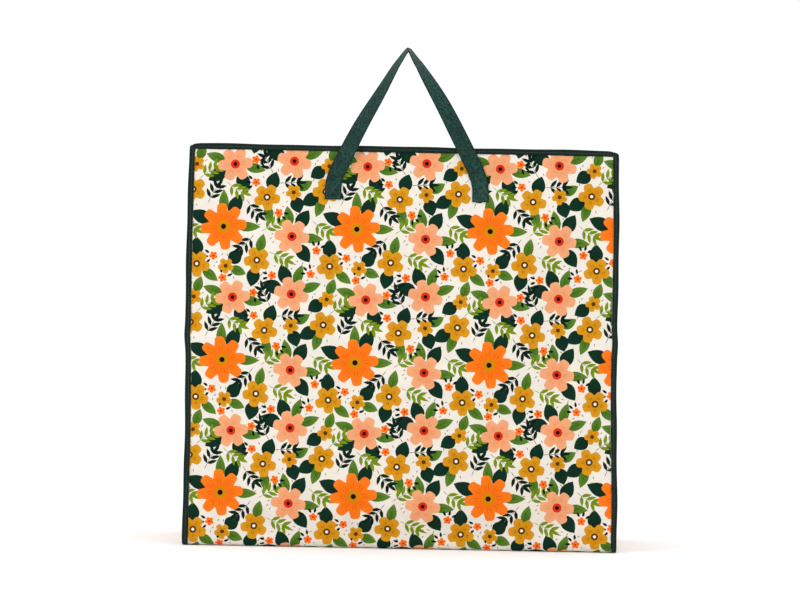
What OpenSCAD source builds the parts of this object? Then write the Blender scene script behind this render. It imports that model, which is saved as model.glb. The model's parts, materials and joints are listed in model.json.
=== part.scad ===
// Large zip-top fabric storage cube: one wrapped body sheet, two gussets, bound seams that
// stand out as fins, a zipped top in two flaps, and two webbing carry handles.
// Origin: centre of the base, on the surface it stands on. +Z up, front towards -Y.

/* [Bag body] */
// Width between the two side seams
body_w = 634; // [500:2:800]
// Depth from the front panel to the rear panel
body_d = 284; // [200:2:360]
// Height of the panels up to the top seam
body_h = 598; // [450:2:700]
// Outside radius of the folds between base and panels
fold_r = 12; // [8:1:30]
// Thickness of the laminated cloth
cloth_t = 1.5; // [1.2:0.1:2]

/* [Bound seams] */
// How far a bound seam stands out from the panels
fin_w = 8; // [6:0.5:12]
// Thickness of the binding tape
tape_t = 0.8; // [0.5:0.1:1]
// Thickness of a sheet where the tape presses it
pressed_t = 0.7; // [0.5:0.1:1]

/* [Zipped top] */
// Length of the fixed part of the top at each end
end_w = 50; // [46:1:80]
// Distance from the zip's centre line to the folded edge of each flap
flap_edge = 10; // [8:1:14]
// Width of one half of the zip chain
chain_w = 2.6; // [2:0.1:4]
// Thickness of the zip chain
chain_h = 2.4; // [2:0.1:3]
// Gap between the two halves, for the slider's post
chain_gap = 1.2; // [1:0.1:1.6]
// Width of one zip tape
zip_tape_w = 19; // [14:1:24]
// Length of the slider
slider_len = 14; // [12:0.5:18]
// Reach of the pull from its pin to its tip
pull_reach = 30; // [22:1:32]
// Diameter of the hole in the pull's tip
pull_hole_d = 4; // [2:0.5:5]

/* [Handles] */
// Width of the webbing
web_w = 25; // [20:1:38]
// Thickness of the webbing
web_t = 1.5; // [1:0.1:2.5]
// Distance between the two sewn ends, centre to centre
foot_gap = 222; // [160:2:300]
// Length of each sewn end
foot_len = 30; // [20:1:50]
// Depth of the fold line below the top of the bound seam
foot_drop = 51; // [30:1:100]
// Height of the loop above its fold line
loop_rise = 200; // [120:2:240]
// How far the front handle is sewn off the middle
front_shift = 5; // [-10:1:10]

/* [Hidden] */
$fn = 48;

eps = 0.01;                                   // overshoot of a cutting tool
thread_w = 0.6;                               // width of a line of stitching
thread_h = 0.35;                              // how far stitching stands proud

half_w = body_w / 2;
half_d = body_d / 2;
top_z = body_h + fin_w;                       // top of the bound seam
allow_w = fin_w - tape_t;                     // cloth that reaches into a bound seam
side_fin_t = 2 * tape_t + pressed_t + cloth_t;

// Layers in the top seam, from the outside inwards
allow_out = tape_t;
allow_mid = allow_out + pressed_t;
allow_in = allow_mid + cloth_t;
top_fin_t = allow_in + tape_t;

// Zip levels
flap_under = body_h - cloth_t;
zip_tape_under = flap_under - tape_t;
chain_mid = flap_under - tape_t / 2;
chain_top = chain_mid + chain_h / 2;
chain_under = chain_mid - chain_h / 2;
chain_in = chain_gap / 2;
chain_out = chain_in + chain_w;
flap_hinge_y = half_d - top_fin_t - 0.6;      // from the middle, at the flap's upper face
flap_reach_x = half_w - end_w;
tail_start = flap_reach_x + 0.4;
tail_end = half_w - 27;
stop_x = tail_end - 3;
stop_len = 2.4;

// Slider: plates above and below the chain, lips round it, a post in the gap
slider_clear = 0.4;
plate_t = 1.2;
slider_in = chain_out + slider_clear;         // inner face of the lips
slider_out = slider_in + 1.6;
slider_park = flap_reach_x + slider_len / 2 + 4;
slider_under = chain_under - slider_clear - plate_t;
slider_top = chain_top + slider_clear + plate_t;
post_w = 0.6;
bail_len = 9;
bail_w = 2.4;
bail_window = 2.2;
bail_t = 1.2;
pull_bar_r = 0.8;
pull_bar_z = slider_top + bail_window / 2;
pull_t = 1.6;
pull_w = 10;
pull_arm_in = bail_w / 2 + 0.6;
pull_arm_out = pull_arm_in + 1.6;
pull_solid_from = 10;                         // where the two arms join the tab

// Handles
hinge_z = top_z - foot_drop;                  // fold line of both handles
hinge_out = half_d + web_t + 0.6;             // fold line's distance from the middle plane
foot_top = hinge_z - 0.5;
raised_lean = 7;                              // lean of a raised handle from the vertical
hanging_lean = 174;                           // lean of a handle that hangs down
apex_round = 12;                              // sets how sharp the top of the loop is
leg_bow = 8;                                  // how far the legs bulge, along the rise
settle_len = 20;                              // stretch over which the fold squares up
loop_rings = 22;                              // rings on each leg

// ---------------------------------------------------------------- helpers

// Outline of the body seen from the side, y across and z up, set in from the outside
module side_outline(inset, top) {
    r = fold_r - inset;
    union() {
        translate([-half_d + inset, fold_r]) square([body_d - 2 * inset, top - fold_r]);
        translate([-half_d + fold_r, inset]) square([body_d - 2 * fold_r, fold_r]);
        for (side = [-1, 1]) translate([side * (half_d - fold_r), fold_r]) circle(r);
    }
}

// A layer that follows that outline, from one inset to the next, between two x positions
module side_layer(inset_from, inset_to, x_from, x_to, top) {
    translate([x_from, 0, 0]) rotate([90, 0, 90]) linear_extrude(x_to - x_from)
        difference() {
            side_outline(inset_from, top);
            side_outline(inset_to, top + eps);
        }
}

// A block by its lowest and highest corners
module block(low, high) {
    translate(low) cube(high - low);
}

// A rectangular ring standing on the top seam, between two insets from the panels
module seam_ring(inset_from, inset_to, z_from, z_to) {
    difference() {
        block([-half_w + inset_from, -half_d + inset_from, z_from],
              [half_w - inset_from, half_d - inset_from, z_to]);
        block([-half_w + inset_to, -half_d + inset_to, z_from - eps],
              [half_w - inset_to, half_d - inset_to, z_to + eps]);
    }
}

// ---------------------------------------------------------------- body cloth

// Front, base and rear in one sheet, with thin allowances that reach into the bound seams
module main_wrap() {
    color("darkorange") union() {
        side_layer(0, cloth_t, -half_w, half_w, body_h);
        for (x = [-half_w - allow_w, half_w])
            side_layer(allow_out, allow_mid, x, x + allow_w, body_h);
        for (side = [-1, 1]) {
            y = side * (half_d - allow_out - pressed_t / 2);
            block([-half_w + allow_in, y - pressed_t / 2, body_h - eps],
                  [half_w - allow_in, y + pressed_t / 2, body_h + allow_w]);
        }
    }
}

// One side panel, with its edge turned out into the side seam and up into the top seam
module gusset() {
    color("orange") union() {
        translate([-half_w, 0, 0]) rotate([90, 0, 90]) linear_extrude(cloth_t)
            side_outline(cloth_t, body_h);
        side_layer(allow_mid, allow_mid + cloth_t, -half_w - allow_w, -half_w + eps, body_h);
        block([-half_w + allow_out, -half_d + allow_in, body_h - eps],
              [-half_w + allow_mid, half_d - allow_in, body_h + allow_w]);
    }
}

module left_gusset() {
    gusset();
}

module right_gusset() {
    mirror([1, 0, 0]) gusset();
}

// ---------------------------------------------------------------- binding tape

// Tape folded round the side seam: down the front, under the base and up the rear
module side_binding() {
    color("darkslategray") difference() {
        side_layer(0, side_fin_t, -half_w - fin_w, -half_w, top_z);
        side_layer(allow_out, allow_mid + cloth_t, -half_w - allow_w, -half_w + eps, body_h);
    }
}

module left_side_binding() {
    side_binding();
}

module right_side_binding() {
    mirror([1, 0, 0]) side_binding();
}

// Tape folded over the seam round the top
module top_binding() {
    color("darkslategray") difference() {
        seam_ring(0, top_fin_t, body_h, top_z);
        seam_ring(allow_out, allow_in, body_h - eps, body_h + allow_w);
    }
}

// Lock stitching along the tape of one side seam, front and rear
module side_stitching() {
    color("seagreen") for (side = [-1, 1]) {
        y = side * (half_d + thread_h / 2);
        block([-half_w - fin_w / 2 - thread_w / 2, y - thread_h / 2, fold_r],
              [-half_w - fin_w / 2 + thread_w / 2, y + thread_h / 2, top_z - 2]);
    }
}

module left_binding_stitching() {
    side_stitching();
}

module right_binding_stitching() {
    mirror([1, 0, 0]) side_stitching();
}

// Lock stitching along the tape of the top seam, on its four outer faces
module top_binding_stitching() {
    z = body_h + fin_w / 2;
    low_z = z - thread_w / 2;
    high_z = z + thread_w / 2;
    color("seagreen") for (side = [-1, 1]) {
        y = side * (half_d + thread_h / 2);
        x = side * (half_w + thread_h / 2);
        block([-half_w + 2, y - thread_h / 2, low_z], [half_w - 2, y + thread_h / 2, high_z]);
        block([x - thread_h / 2, -half_d + side_fin_t + 2, low_z],
              [x + thread_h / 2, half_d - side_fin_t - 2, high_z]);
    }
}

// ---------------------------------------------------------------- zipped top

// The fixed edge of the top: cloth turned up into the seam, and an end panel at each side
module top_panel_frame() {
    color("orange") union() {
        seam_ring(allow_mid, allow_in, flap_under, body_h + allow_w);
        for (side = [0, 1]) mirror([side, 0, 0]) difference() {
            block([-half_w + allow_in - eps, -half_d + allow_in - eps, flap_under],
                  [-flap_reach_x - 0.4, half_d - allow_in + eps, body_h]);
            block([-tail_end, -flap_edge, flap_under - eps],
                  [-flap_reach_x, flap_edge, body_h + eps]);
        }
    }
}

// One flap of the top, lying closed, from its fold at the seam to its edge by the zip
module flap() {
    block([-flap_reach_x, -flap_hinge_y, flap_under], [flap_reach_x, -flap_edge, body_h]);
}

// One zip tape and one half of the chain, between two x positions, on the front side
module half_tape(x_from, x_to) {
    block([x_from, -chain_out - zip_tape_w, zip_tape_under],
          [x_to, -chain_out, flap_under]);
}

module half_chain(x_from, x_to) {
    block([x_from, -chain_out, chain_under], [x_to, -chain_in, chain_top]);
}

module flap_stitching() {
    block([-flap_reach_x + 2, -flap_edge - 3, body_h],
          [flap_reach_x - 2, -flap_edge - 3 + thread_w, body_h + thread_h]);
}

module front_flap() {
    color("darkorange") flap();
}

module front_zip_tape() {
    color("darkslategray") half_tape(-flap_reach_x, flap_reach_x);
}

module front_zip_chain() {
    color("black") half_chain(-flap_reach_x, flap_reach_x);
}

module front_flap_stitching() {
    color("seagreen") flap_stitching();
}

module rear_flap() {
    color("darkorange") mirror([0, 1, 0]) flap();
}

module rear_zip_tape() {
    color("darkslategray") mirror([0, 1, 0]) half_tape(-flap_reach_x, flap_reach_x);
}

module rear_zip_chain() {
    color("black") mirror([0, 1, 0]) half_chain(-flap_reach_x, flap_reach_x);
}

module rear_flap_stitching() {
    color("seagreen") mirror([0, 1, 0]) flap_stitching();
}

// Fixed end of the zip: both tapes, both halves of the chain, and the stop across them
module zip_tail_tape() {
    color("darkslategray") for (side = [0, 1]) mirror([0, side, 0])
        half_tape(-tail_end, -tail_start);
}

module zip_tail_chain() {
    color("black") for (side = [0, 1]) mirror([0, side, 0])
        half_chain(-stop_x, -tail_start);
}

module zip_stop() {
    color("dimgray")
        block([-stop_x - stop_len, -chain_out, chain_under], [-stop_x, chain_out, chain_top]);
}

module left_zip_tail_tape() {
    zip_tail_tape();
}

module left_zip_tail_chain() {
    zip_tail_chain();
}

module left_zip_stop() {
    zip_stop();
}

module right_zip_tail_tape() {
    mirror([1, 0, 0]) zip_tail_tape();
}

module right_zip_tail_chain() {
    mirror([1, 0, 0]) zip_tail_chain();
}

module right_zip_stop() {
    mirror([1, 0, 0]) zip_stop();
}

// ---------------------------------------------------------------- slider and pull

// Two plates round the chain, joined by the post, with a bail on top for the pull
module zip_slider() {
    lip_up = zip_tape_under - slider_clear;
    lip_down = flap_under + slider_clear;
    half_len = slider_len / 2;
    color("dimgray") translate([slider_park, 0, 0]) union() {
        block([-half_len, -slider_out, slider_under], [half_len, slider_out, slider_under + plate_t]);
        block([-half_len, -slider_out, slider_top - plate_t], [half_len, slider_out, slider_top]);
        for (side = [0, 1]) mirror([0, side, 0]) {
            block([-half_len, slider_in, slider_under], [half_len, slider_out, lip_up]);
            block([-half_len, slider_in, lip_down], [half_len, slider_out, slider_top]);
        }
        block([-3, -post_w / 2, slider_under], [3, post_w / 2, slider_top]);
        difference() {
            block([-bail_len / 2, -bail_w / 2, slider_top - eps],
                  [bail_len / 2, bail_w / 2, slider_top + bail_window + bail_t]);
            block([-bail_len / 2 + 1.5, -bail_w, slider_top],
                  [bail_len / 2 - 1.5, bail_w, slider_top + bail_window]);
        }
    }
}

// Tab that lies along the zip, with a cross bar through the bail and a hole in its tip
module zip_pull() {
    tab_from = slider_park - pull_solid_from;
    tab_mid = slider_park - pull_reach + pull_w / 2;
    z = pull_bar_z - pull_t / 2;
    color("dimgray") difference() {
        union() {
            translate([slider_park, pull_arm_out, pull_bar_z]) rotate([90, 0, 0])
                cylinder(h = 2 * pull_arm_out, r = pull_bar_r);
            for (side = [0, 1]) mirror([0, side, 0])
                block([tab_from, pull_arm_in, z], [slider_park, pull_arm_out, z + pull_t]);
            block([tab_mid, -pull_w / 2, z], [tab_from, pull_w / 2, z + pull_t]);
            translate([tab_mid, 0, z]) cylinder(h = pull_t, d = pull_w);
        }
        translate([tab_mid, 0, z - 1]) cylinder(h = pull_t + 2, d = pull_hole_d);
    }
}

// ---------------------------------------------------------------- handles

// A sewn end, flat on the front panel
module foot(x) {
    color("teal") block([x - web_w / 2, -half_d - web_t, foot_top - foot_len],
                        [x + web_w / 2, -half_d, foot_top]);
}

// A line of thread on the webbing between two points, x and z
module thread_line(from, to) {
    run = to - from;
    translate([from[0], -half_d - web_t, from[1]]) rotate([0, -atan2(run[1], run[0]), 0])
        translate([-thread_w / 2, -thread_h, -thread_w / 2])
            cube([norm(run) + thread_w, thread_h, thread_w]);
}

// A box of stitching with a cross in it
module box_stitch(x) {
    side = web_w / 2 - 3;
    low = foot_top - foot_len + 3;
    high = foot_top - 3;
    corners = [[x - side, low], [x + side, low], [x + side, high], [x - side, high]];
    color("seagreen") union() {
        for (i = [0:3]) thread_line(corners[i], corners[(i + 1) % 4]);
        thread_line(corners[0], corners[2]);
        thread_line(corners[1], corners[3]);
    }
}

module front_left_foot() {
    foot(front_shift - foot_gap / 2);
}

module front_right_foot() {
    foot(front_shift + foot_gap / 2);
}

module front_foot_stitching() {
    for (side = [-1, 1]) box_stitch(front_shift + side * foot_gap / 2);
}

module rear_left_foot() {
    mirror([0, 1, 0]) foot(-foot_gap / 2);
}

module rear_right_foot() {
    mirror([0, 1, 0]) foot(foot_gap / 2);
}

module rear_foot_stitching() {
    mirror([0, 1, 0]) for (side = [-1, 1]) box_stitch(side * foot_gap / 2);
}

// The loop is a strap that twists a quarter turn up each leg, so it folds over flat at
// the top. Its own plane has x across and rise along it. The route is a rounded peak.
loop_half = foot_gap / 2;
peak = loop_rise + apex_round;
peak_slope = sqrt(peak * peak - apex_round * apex_round) / loop_half;

function rise_at(x) = peak - sqrt(pow(peak_slope * x, 2) + pow(apex_round, 2))
    + leg_bow * sin(180 * abs(x) / loop_half) * min(1, abs(x) / 20);
function ring_x(i) = loop_half * sign(i) * pow(abs(i) / loop_rings, 1.4);
function slope_at(x) = (rise_at(x + 0.05) - rise_at(x - 0.05)) / 0.1;
function unit(v) = v / norm(v);

// In-plane direction from the inside of the loop to its outside
function outward(x) = unit([-slope_at(x), 1]);
function strap_side(x) =
    let (settle = min(1, rise_at(x) / settle_len))
    unit(outward(x) * settle + [sign(x), 0] * (1 - settle));

// Corners of the strap's section at x: [across, rise, towards the viewer]
function ring(x) =
    let (
        out = abs(x) < 0.01 ? [0, 1] : strap_side(x),
        twist = 90 * min(1, rise_at(x) / loop_rise),
        wide = [out[0] * cos(twist), out[1] * cos(twist), -sin(twist)] * web_w / 2,
        thick = [out[0] * sin(twist), out[1] * sin(twist), cos(twist)] * web_t / 2,
        mid = [x, max(0.8, rise_at(x)), -web_t / 2]
    )
    [mid + wide + thick, mid - wide + thick, mid - wide - thick, mid + wide - thick];

module strap_loop() {
    rings = [for (i = [-loop_rings:loop_rings]) ring(ring_x(i))];
    points = [for (r = rings) for (p = r) p];
    last = len(rings) - 1;
    sides = [for (i = [0:last - 1]) for (j = [0:3])
        let (a = 4 * i + j, b = 4 * i + (j + 1) % 4) each [[a, b, b + 4], [a, b + 4, a + 4]]];
    caps = [[3, 2, 1], [3, 1, 0],
            [4 * last, 4 * last + 1, 4 * last + 2], [4 * last, 4 * last + 2, 4 * last + 3]];
    polyhedron(points = points, faces = concat(sides, caps), convexity = 6);
}

// The loop on the front panel's fold line, leaning out from the vertical by an angle
module handle_loop(lean) {
    color("teal") translate([0, -hinge_out, hinge_z]) rotate([90 + lean, 0, 0]) strap_loop();
}

module front_handle_loop() {
    translate([front_shift, 0, 0]) handle_loop(raised_lean);
}

module rear_handle_loop() {
    mirror([0, 1, 0]) handle_loop(hanging_lean);
}

// ---------------------------------------------------------------- output

main_wrap();
left_gusset();
right_gusset();
left_side_binding();
right_side_binding();
top_binding();
left_binding_stitching();
right_binding_stitching();
top_binding_stitching();
top_panel_frame();
left_zip_tail_tape();
left_zip_tail_chain();
left_zip_stop();
right_zip_tail_tape();
right_zip_tail_chain();
right_zip_stop();
front_flap();
front_zip_tape();
front_zip_chain();
front_flap_stitching();
rear_flap();
rear_zip_tape();
rear_zip_chain();
rear_flap_stitching();
zip_slider();
zip_pull();
front_left_foot();
front_right_foot();
front_foot_stitching();
rear_left_foot();
rear_right_foot();
rear_foot_stitching();
front_handle_loop();
rear_handle_loop();
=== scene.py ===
"""Looks of the zip-top storage bag: printed cloth, bound seams, webbing handles and zip."""

import json
import math
import random
from functools import partial

import bmesh
import bpy
import numpy as np
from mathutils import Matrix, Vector
from mathutils.geometry import delaunay_2d_cdt

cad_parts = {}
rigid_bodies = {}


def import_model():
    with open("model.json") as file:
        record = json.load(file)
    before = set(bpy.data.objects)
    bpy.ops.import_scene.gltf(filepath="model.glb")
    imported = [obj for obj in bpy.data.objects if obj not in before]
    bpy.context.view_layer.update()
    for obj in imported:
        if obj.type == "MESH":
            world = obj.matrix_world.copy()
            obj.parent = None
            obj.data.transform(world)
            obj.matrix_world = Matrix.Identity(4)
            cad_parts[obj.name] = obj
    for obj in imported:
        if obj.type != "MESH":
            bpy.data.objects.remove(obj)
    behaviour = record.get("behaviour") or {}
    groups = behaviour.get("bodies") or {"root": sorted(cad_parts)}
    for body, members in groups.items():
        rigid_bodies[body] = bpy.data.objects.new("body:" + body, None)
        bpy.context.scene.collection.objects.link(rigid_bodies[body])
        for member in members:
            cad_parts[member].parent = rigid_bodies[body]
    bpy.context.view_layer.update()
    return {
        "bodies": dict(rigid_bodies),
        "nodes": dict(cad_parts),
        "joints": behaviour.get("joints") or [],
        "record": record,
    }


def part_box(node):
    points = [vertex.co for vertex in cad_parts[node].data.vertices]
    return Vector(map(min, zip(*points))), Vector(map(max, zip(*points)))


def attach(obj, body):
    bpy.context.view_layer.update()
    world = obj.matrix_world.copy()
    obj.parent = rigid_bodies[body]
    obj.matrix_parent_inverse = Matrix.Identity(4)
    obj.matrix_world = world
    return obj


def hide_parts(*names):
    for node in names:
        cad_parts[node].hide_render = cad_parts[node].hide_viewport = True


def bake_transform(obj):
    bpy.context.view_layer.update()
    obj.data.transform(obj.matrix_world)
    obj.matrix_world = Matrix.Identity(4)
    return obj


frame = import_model()

MM = 0.001

# ------------------------------------------------------------------ sizes from the frame
# Metres, in the frame's own axes: +Z up, the front panel faces -Y.

_, WRAP_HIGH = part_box("main_wrap")
TAPE_LOW, TAPE_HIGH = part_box("left_side_binding")
_, FLAP_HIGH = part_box("front_flap")
CHAIN_LOW, CHAIN_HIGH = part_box("front_zip_chain")
FOOT_LOW, FOOT_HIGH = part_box("front_left_foot")
FOOT_RIGHT_LOW, FOOT_RIGHT_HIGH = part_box("front_right_foot")
HALF_W = -TAPE_HIGH[0]                          # middle plane to the side seams
HALF_D = WRAP_HIGH[1]                           # middle plane to the front and rear panels
FIN = TAPE_HIGH[0] - TAPE_LOW[0]                # how far a bound seam stands out
TOP_Z = TAPE_HIGH[2]                            # top edge of the bound seam
SEAM_Z = TOP_Z - FIN                            # the seam itself, level with the top panel
WEB_W = FOOT_HIGH[0] - FOOT_LOW[0]              # width of the webbing
WEB_T = FOOT_HIGH[1] - FOOT_LOW[1]              # thickness of the webbing
FOOT_LEN = FOOT_HIGH[2] - FOOT_LOW[2]
FOOT_GAP = FOOT_RIGHT_LOW[0] - FOOT_LOW[0]      # between the two feet, centre to centre
FRONT_SHIFT = (FOOT_LOW[0] + FOOT_RIGHT_HIGH[0]) / 2    # the front handle is a little off the middle
JOINTS = {j["name"]: j for j in frame["joints"]}
HINGE_Z = JOINTS["front_handle_swing"]["pos_m"][2]
HINGE_OUT = -JOINTS["front_handle_swing"]["pos_m"][1]
FLAP_EDGE = -FLAP_HIGH[1]                       # middle plane to a flap's edge by the zip
FOLD_R = 12 * MM                                # fold between the base and the panels


# ------------------------------------------------------------------ colours

def ink(red, green, blue):
    """A colour given as it looks on screen, 0 to 255, as the linear values that Blender uses."""
    values = []
    for value in (red, green, blue):
        share = value / 255
        values.append(share / 12.92 if share < 0.04045 else ((share + 0.055) / 1.055) ** 2.4)
    return tuple(values)


CREAM = ink(240, 233, 221)
PALE = ink(253, 250, 240)
ORANGE = ink(252, 106, 4)
ORANGE_RIM = ink(252, 126, 28)
ORANGE_LINE = ink(196, 74, 6)
PEACH = ink(242, 156, 104)
PEACH_RIM = ink(243, 170, 124)
PEACH_LINE = ink(214, 120, 76)
RED = ink(216, 48, 22)
MAROON = ink(34, 4, 8)
MUSTARD = ink(210, 138, 4)
MUSTARD_RIM = ink(218, 152, 30)
MUSTARD_LINE = ink(92, 52, 10)
BLACK = ink(3, 9, 7)
DARK_LEAF = ink(6, 38, 26)
DARK_LEAF_TIP = ink(14, 52, 36)
MID_LEAF = ink(58, 106, 18)
MID_LEAF_TIP = ink(96, 132, 46)
LEAF_LINE = ink(34, 70, 22)
OLIVE = ink(104, 132, 8)
OLIVE_TIP = ink(128, 150, 26)
FROND = ink(3, 28, 20)
DASH = ink(46, 52, 47)
INSIDE = ink(228, 222, 208)


# ------------------------------------------------------------------ the print's repeat
# A plain scattered floral. Nothing has a fixed place: each motif goes where there is most room.

def polar(x, y, radius, angle):
    """The point at a distance and an angle, in radians, from another point."""
    return x + radius * math.cos(angle), y + radius * math.sin(angle)


LARGE_BLOOM, MIDDLE_BLOOM = 14, 8               # radii above which a flower gets more detail


class Artwork:
    """Flat shapes in millimetres on one repeat of the print. A later shape lies over the earlier ones."""

    def __init__(self, side, seed):
        self.side = side
        self.rng = random.Random(seed)
        self.shapes = []
        self.taken = []

    def room(self, x, y):
        """Clear distance from a point to the nearest motif, with the repeat wrapped round."""
        nearest = self.side
        for other_x, other_y, radius in self.taken:
            dx = abs(x - other_x) % self.side
            dy = abs(y - other_y) % self.side
            dx, dy = min(dx, self.side - dx), min(dy, self.side - dy)
            nearest = min(nearest, math.hypot(dx, dy) - radius)
        return nearest

    def roomiest(self, tries=160):
        """The emptiest of many random places."""
        places = []
        for _ in range(tries):
            x = self.rng.uniform(-self.side / 2, self.side / 2)
            y = self.rng.uniform(-self.side / 2, self.side / 2)
            places.append((self.room(x, y), x, y))
        return max(places)

    def clearest_heading(self, x, y, reach, tries=24):
        """The heading, in degrees, with most room at its far end."""
        first = self.rng.uniform(0, 360)
        options = []
        for i in range(tries):
            heading = first + 360 * i / tries
            options.append((self.room(*polar(x, y, reach, math.radians(heading))), heading))
        return max(options)

    def add(self, outline, middle, rim=None, centre=None, reach=1.0):
        """A filled outline. Its colour runs from middle, at centre, to rim, at the distance reach."""
        points = np.array(outline, float)
        centre = points.mean(axis=0) if centre is None else np.array(centre, float)
        self.shapes.append((points, np.array(middle), np.array(rim or middle), centre, reach))

    def stroke(self, start, end, width, colour):
        """A thin pointed line."""
        a, b = np.array(start, float), np.array(end, float)
        along = (b - a) / np.linalg.norm(b - a)
        side = np.array([-along[1], along[0]]) * width / 2
        middle = (a + b) / 2
        self.add([a, middle - side, b, middle + side], colour)

    def disc(self, x, y, radius, colour, steps=12):
        """A round spot."""
        self.add([polar(x, y, radius, math.tau * i / steps) for i in range(steps)], colour)

    def bloom(self, x, y, radius, count, look):
        """A plain round-petalled flower: petals, fine lines on them, and a round eye."""
        turn = self.rng.uniform(0, math.tau)
        outline = []
        steps = count * (9 if radius > LARGE_BLOOM else 7 if radius > MIDDLE_BLOOM else 5)
        for i in range(steps):
            angle = math.tau * i / steps
            cleft = abs(math.cos(count * angle / 2)) ** 6
            outline.append(polar(x, y, radius * (1 - 0.34 * cleft), angle + turn))
        self.add(outline, look["petal"], look["rim"], (x, y), radius)
        if radius > MIDDLE_BLOOM:
            for i in range(count):
                for lean in (-0.13, 0.13) if radius > LARGE_BLOOM else (0,):
                    a = turn + math.tau * (i + 0.5) / count + lean
                    near, far = radius * 0.34, radius * self.rng.uniform(0.6, 0.72)
                    self.stroke(polar(x, y, near, a), polar(x, y, far, a), 0.7, look["line"])
        self.disc(x, y, radius * 0.27, look["eye"], 12 if radius > LARGE_BLOOM else 8)
        if radius > LARGE_BLOOM:
            self.disc(x, y, radius * 0.12, look["heart"], 8)

    def leaf(self, x, y, heading, length, width, colour, tip, line=None):
        """A pointed leaf from its base at x, y, with an optional midrib and veins."""
        along = np.array(polar(0, 0, 1, math.radians(heading)))
        side = np.array([-along[1], along[0]])
        base = np.array([x, y], float)

        def half(t):
            return width / 2 * math.sin(math.pi * t ** 0.85) ** 0.85

        steps = 3 if length < 20 else 6
        shares = [i / steps for i in range(1, steps)]
        right = [base + along * length * t - side * half(t) for t in shares]
        left = [base + along * length * t + side * half(t) for t in reversed(shares)]
        self.add([base] + right + [base + along * length] + left, colour, tip, base, length)
        if line:
            self.stroke(base + along * length * 0.05, base + along * length * 0.85, 0.8, line)
            for t, hand in ((0.32, 1), (0.48, -1)):
                end = base + along * length * (t + 0.16) + side * hand * half(t) * 0.6
                self.stroke(base + along * length * t, end, 0.6, line)

    def sprig(self, x, y, heading, length, leaf_len, leaf_w, colour, tip):
        """A gently curved stem with pairs of leaves and one leaf at its end."""
        curl = self.rng.uniform(-24, 24)
        count = max(2, round(length / 8))
        here = np.array([x, y], float)
        for i in range(count):
            turned = heading + curl * i / count
            there = here + length / count * np.array(polar(0, 0, 1, math.radians(turned)))
            self.stroke(here - (there - here) * 0.2, there + (there - here) * 0.2, 1.0, colour)
            for hand in (-1, 1):
                self.leaf(*there, turned + hand * 46, leaf_len, leaf_w, colour, tip)
            self.taken.append((*there, leaf_len * 0.7))
            here = there
        self.leaf(*here, heading + curl, leaf_len * 1.1, leaf_w, colour, tip)


BLOOMS = (
    # how many, radius, petals, colours
    (1, 35, 8, dict(petal=ORANGE, rim=ORANGE_RIM, line=ORANGE_LINE, eye=MUSTARD, heart=MAROON)),
    (3, 26, 6, dict(petal=PEACH, rim=PEACH_RIM, line=PEACH_LINE, eye=RED, heart=MAROON)),
    (4, 20, 5, dict(petal=MUSTARD, rim=MUSTARD_RIM, line=MUSTARD_LINE, eye=MUSTARD_LINE, heart=PALE)),
    (3, 12, 5, dict(petal=MUSTARD, rim=MUSTARD_RIM, line=MUSTARD_LINE, eye=MUSTARD_LINE, heart=PALE)),
)
REPEAT = 200.0                                  # side of the square repeat, in millimetres
PRINT_SEED = 5
SPRIGS, TINY_BLOOMS, DASHES = 10, 8, 36         # how many of each
TINY_BLOOM = dict(petal=ORANGE_RIM, rim=ORANGE, line=ORANGE_LINE, eye=RED, heart=RED)


def draw_artwork():
    """A generic all-over floral in which every motif is put in the largest gap that is left."""
    art = Artwork(REPEAT, PRINT_SEED)
    flowers = []
    for count, radius, petals, look in BLOOMS:
        for _ in range(count):
            _, x, y = art.roomiest()
            art.taken.append((x, y, radius))
            flowers.append((x, y, radius, petals, look))

    # Leaves that show from under each flower, broad dark ones and veined green ones by turns
    for i, (x, y, radius, _, _) in enumerate(flowers):
        for turn in range(4 if radius > 22 else 2):
            _, heading = art.clearest_heading(x, y, radius + 13)
            a = math.radians(heading)
            base = polar(x, y, radius * 0.55, a)
            length = radius * 0.45 + 21
            if (i + turn) % 2:
                art.leaf(*base, heading, length, 21, DARK_LEAF, DARK_LEAF_TIP)
            else:
                art.leaf(*base, heading, length, 15, MID_LEAF, MID_LEAF_TIP, LEAF_LINE)
            art.taken.append((*polar(x, y, radius + 9, a), 9))

    # Sprigs, olive and dark by turns, then tiny flowers and short sprays in what is left
    for i in range(SPRIGS):
        _, x, y = art.roomiest()
        _, heading = art.clearest_heading(x, y, 18)
        start = polar(x, y, -9, math.radians(heading))
        colours = (OLIVE, OLIVE_TIP) if i % 2 else (FROND, DARK_LEAF)
        art.sprig(*start, heading, 26, 16, 5.6, *colours)
    for _ in range(TINY_BLOOMS):
        _, x, y = art.roomiest()
        art.taken.append((x, y, 7))
        flowers.append((x, y, 6.5, 5, TINY_BLOOM))
        first = art.rng.uniform(0, 360)
        for heading in (first, first + 40, first + 80):
            art.leaf(*polar(x, y, 7, math.radians(heading)), heading, 9, 4.0, BLACK, FROND)

    for flower in flowers:
        art.bloom(*flower)

    # Short dashes on the bare ground
    for _ in range(DASHES):
        _, x, y = art.roomiest(40)
        a = art.rng.uniform(0, math.pi)
        art.stroke(polar(x, y, -2.6, a), polar(x, y, 2.6, a), 1.3, DASH)
        art.taken.append((x, y, 3))
    return art


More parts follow.
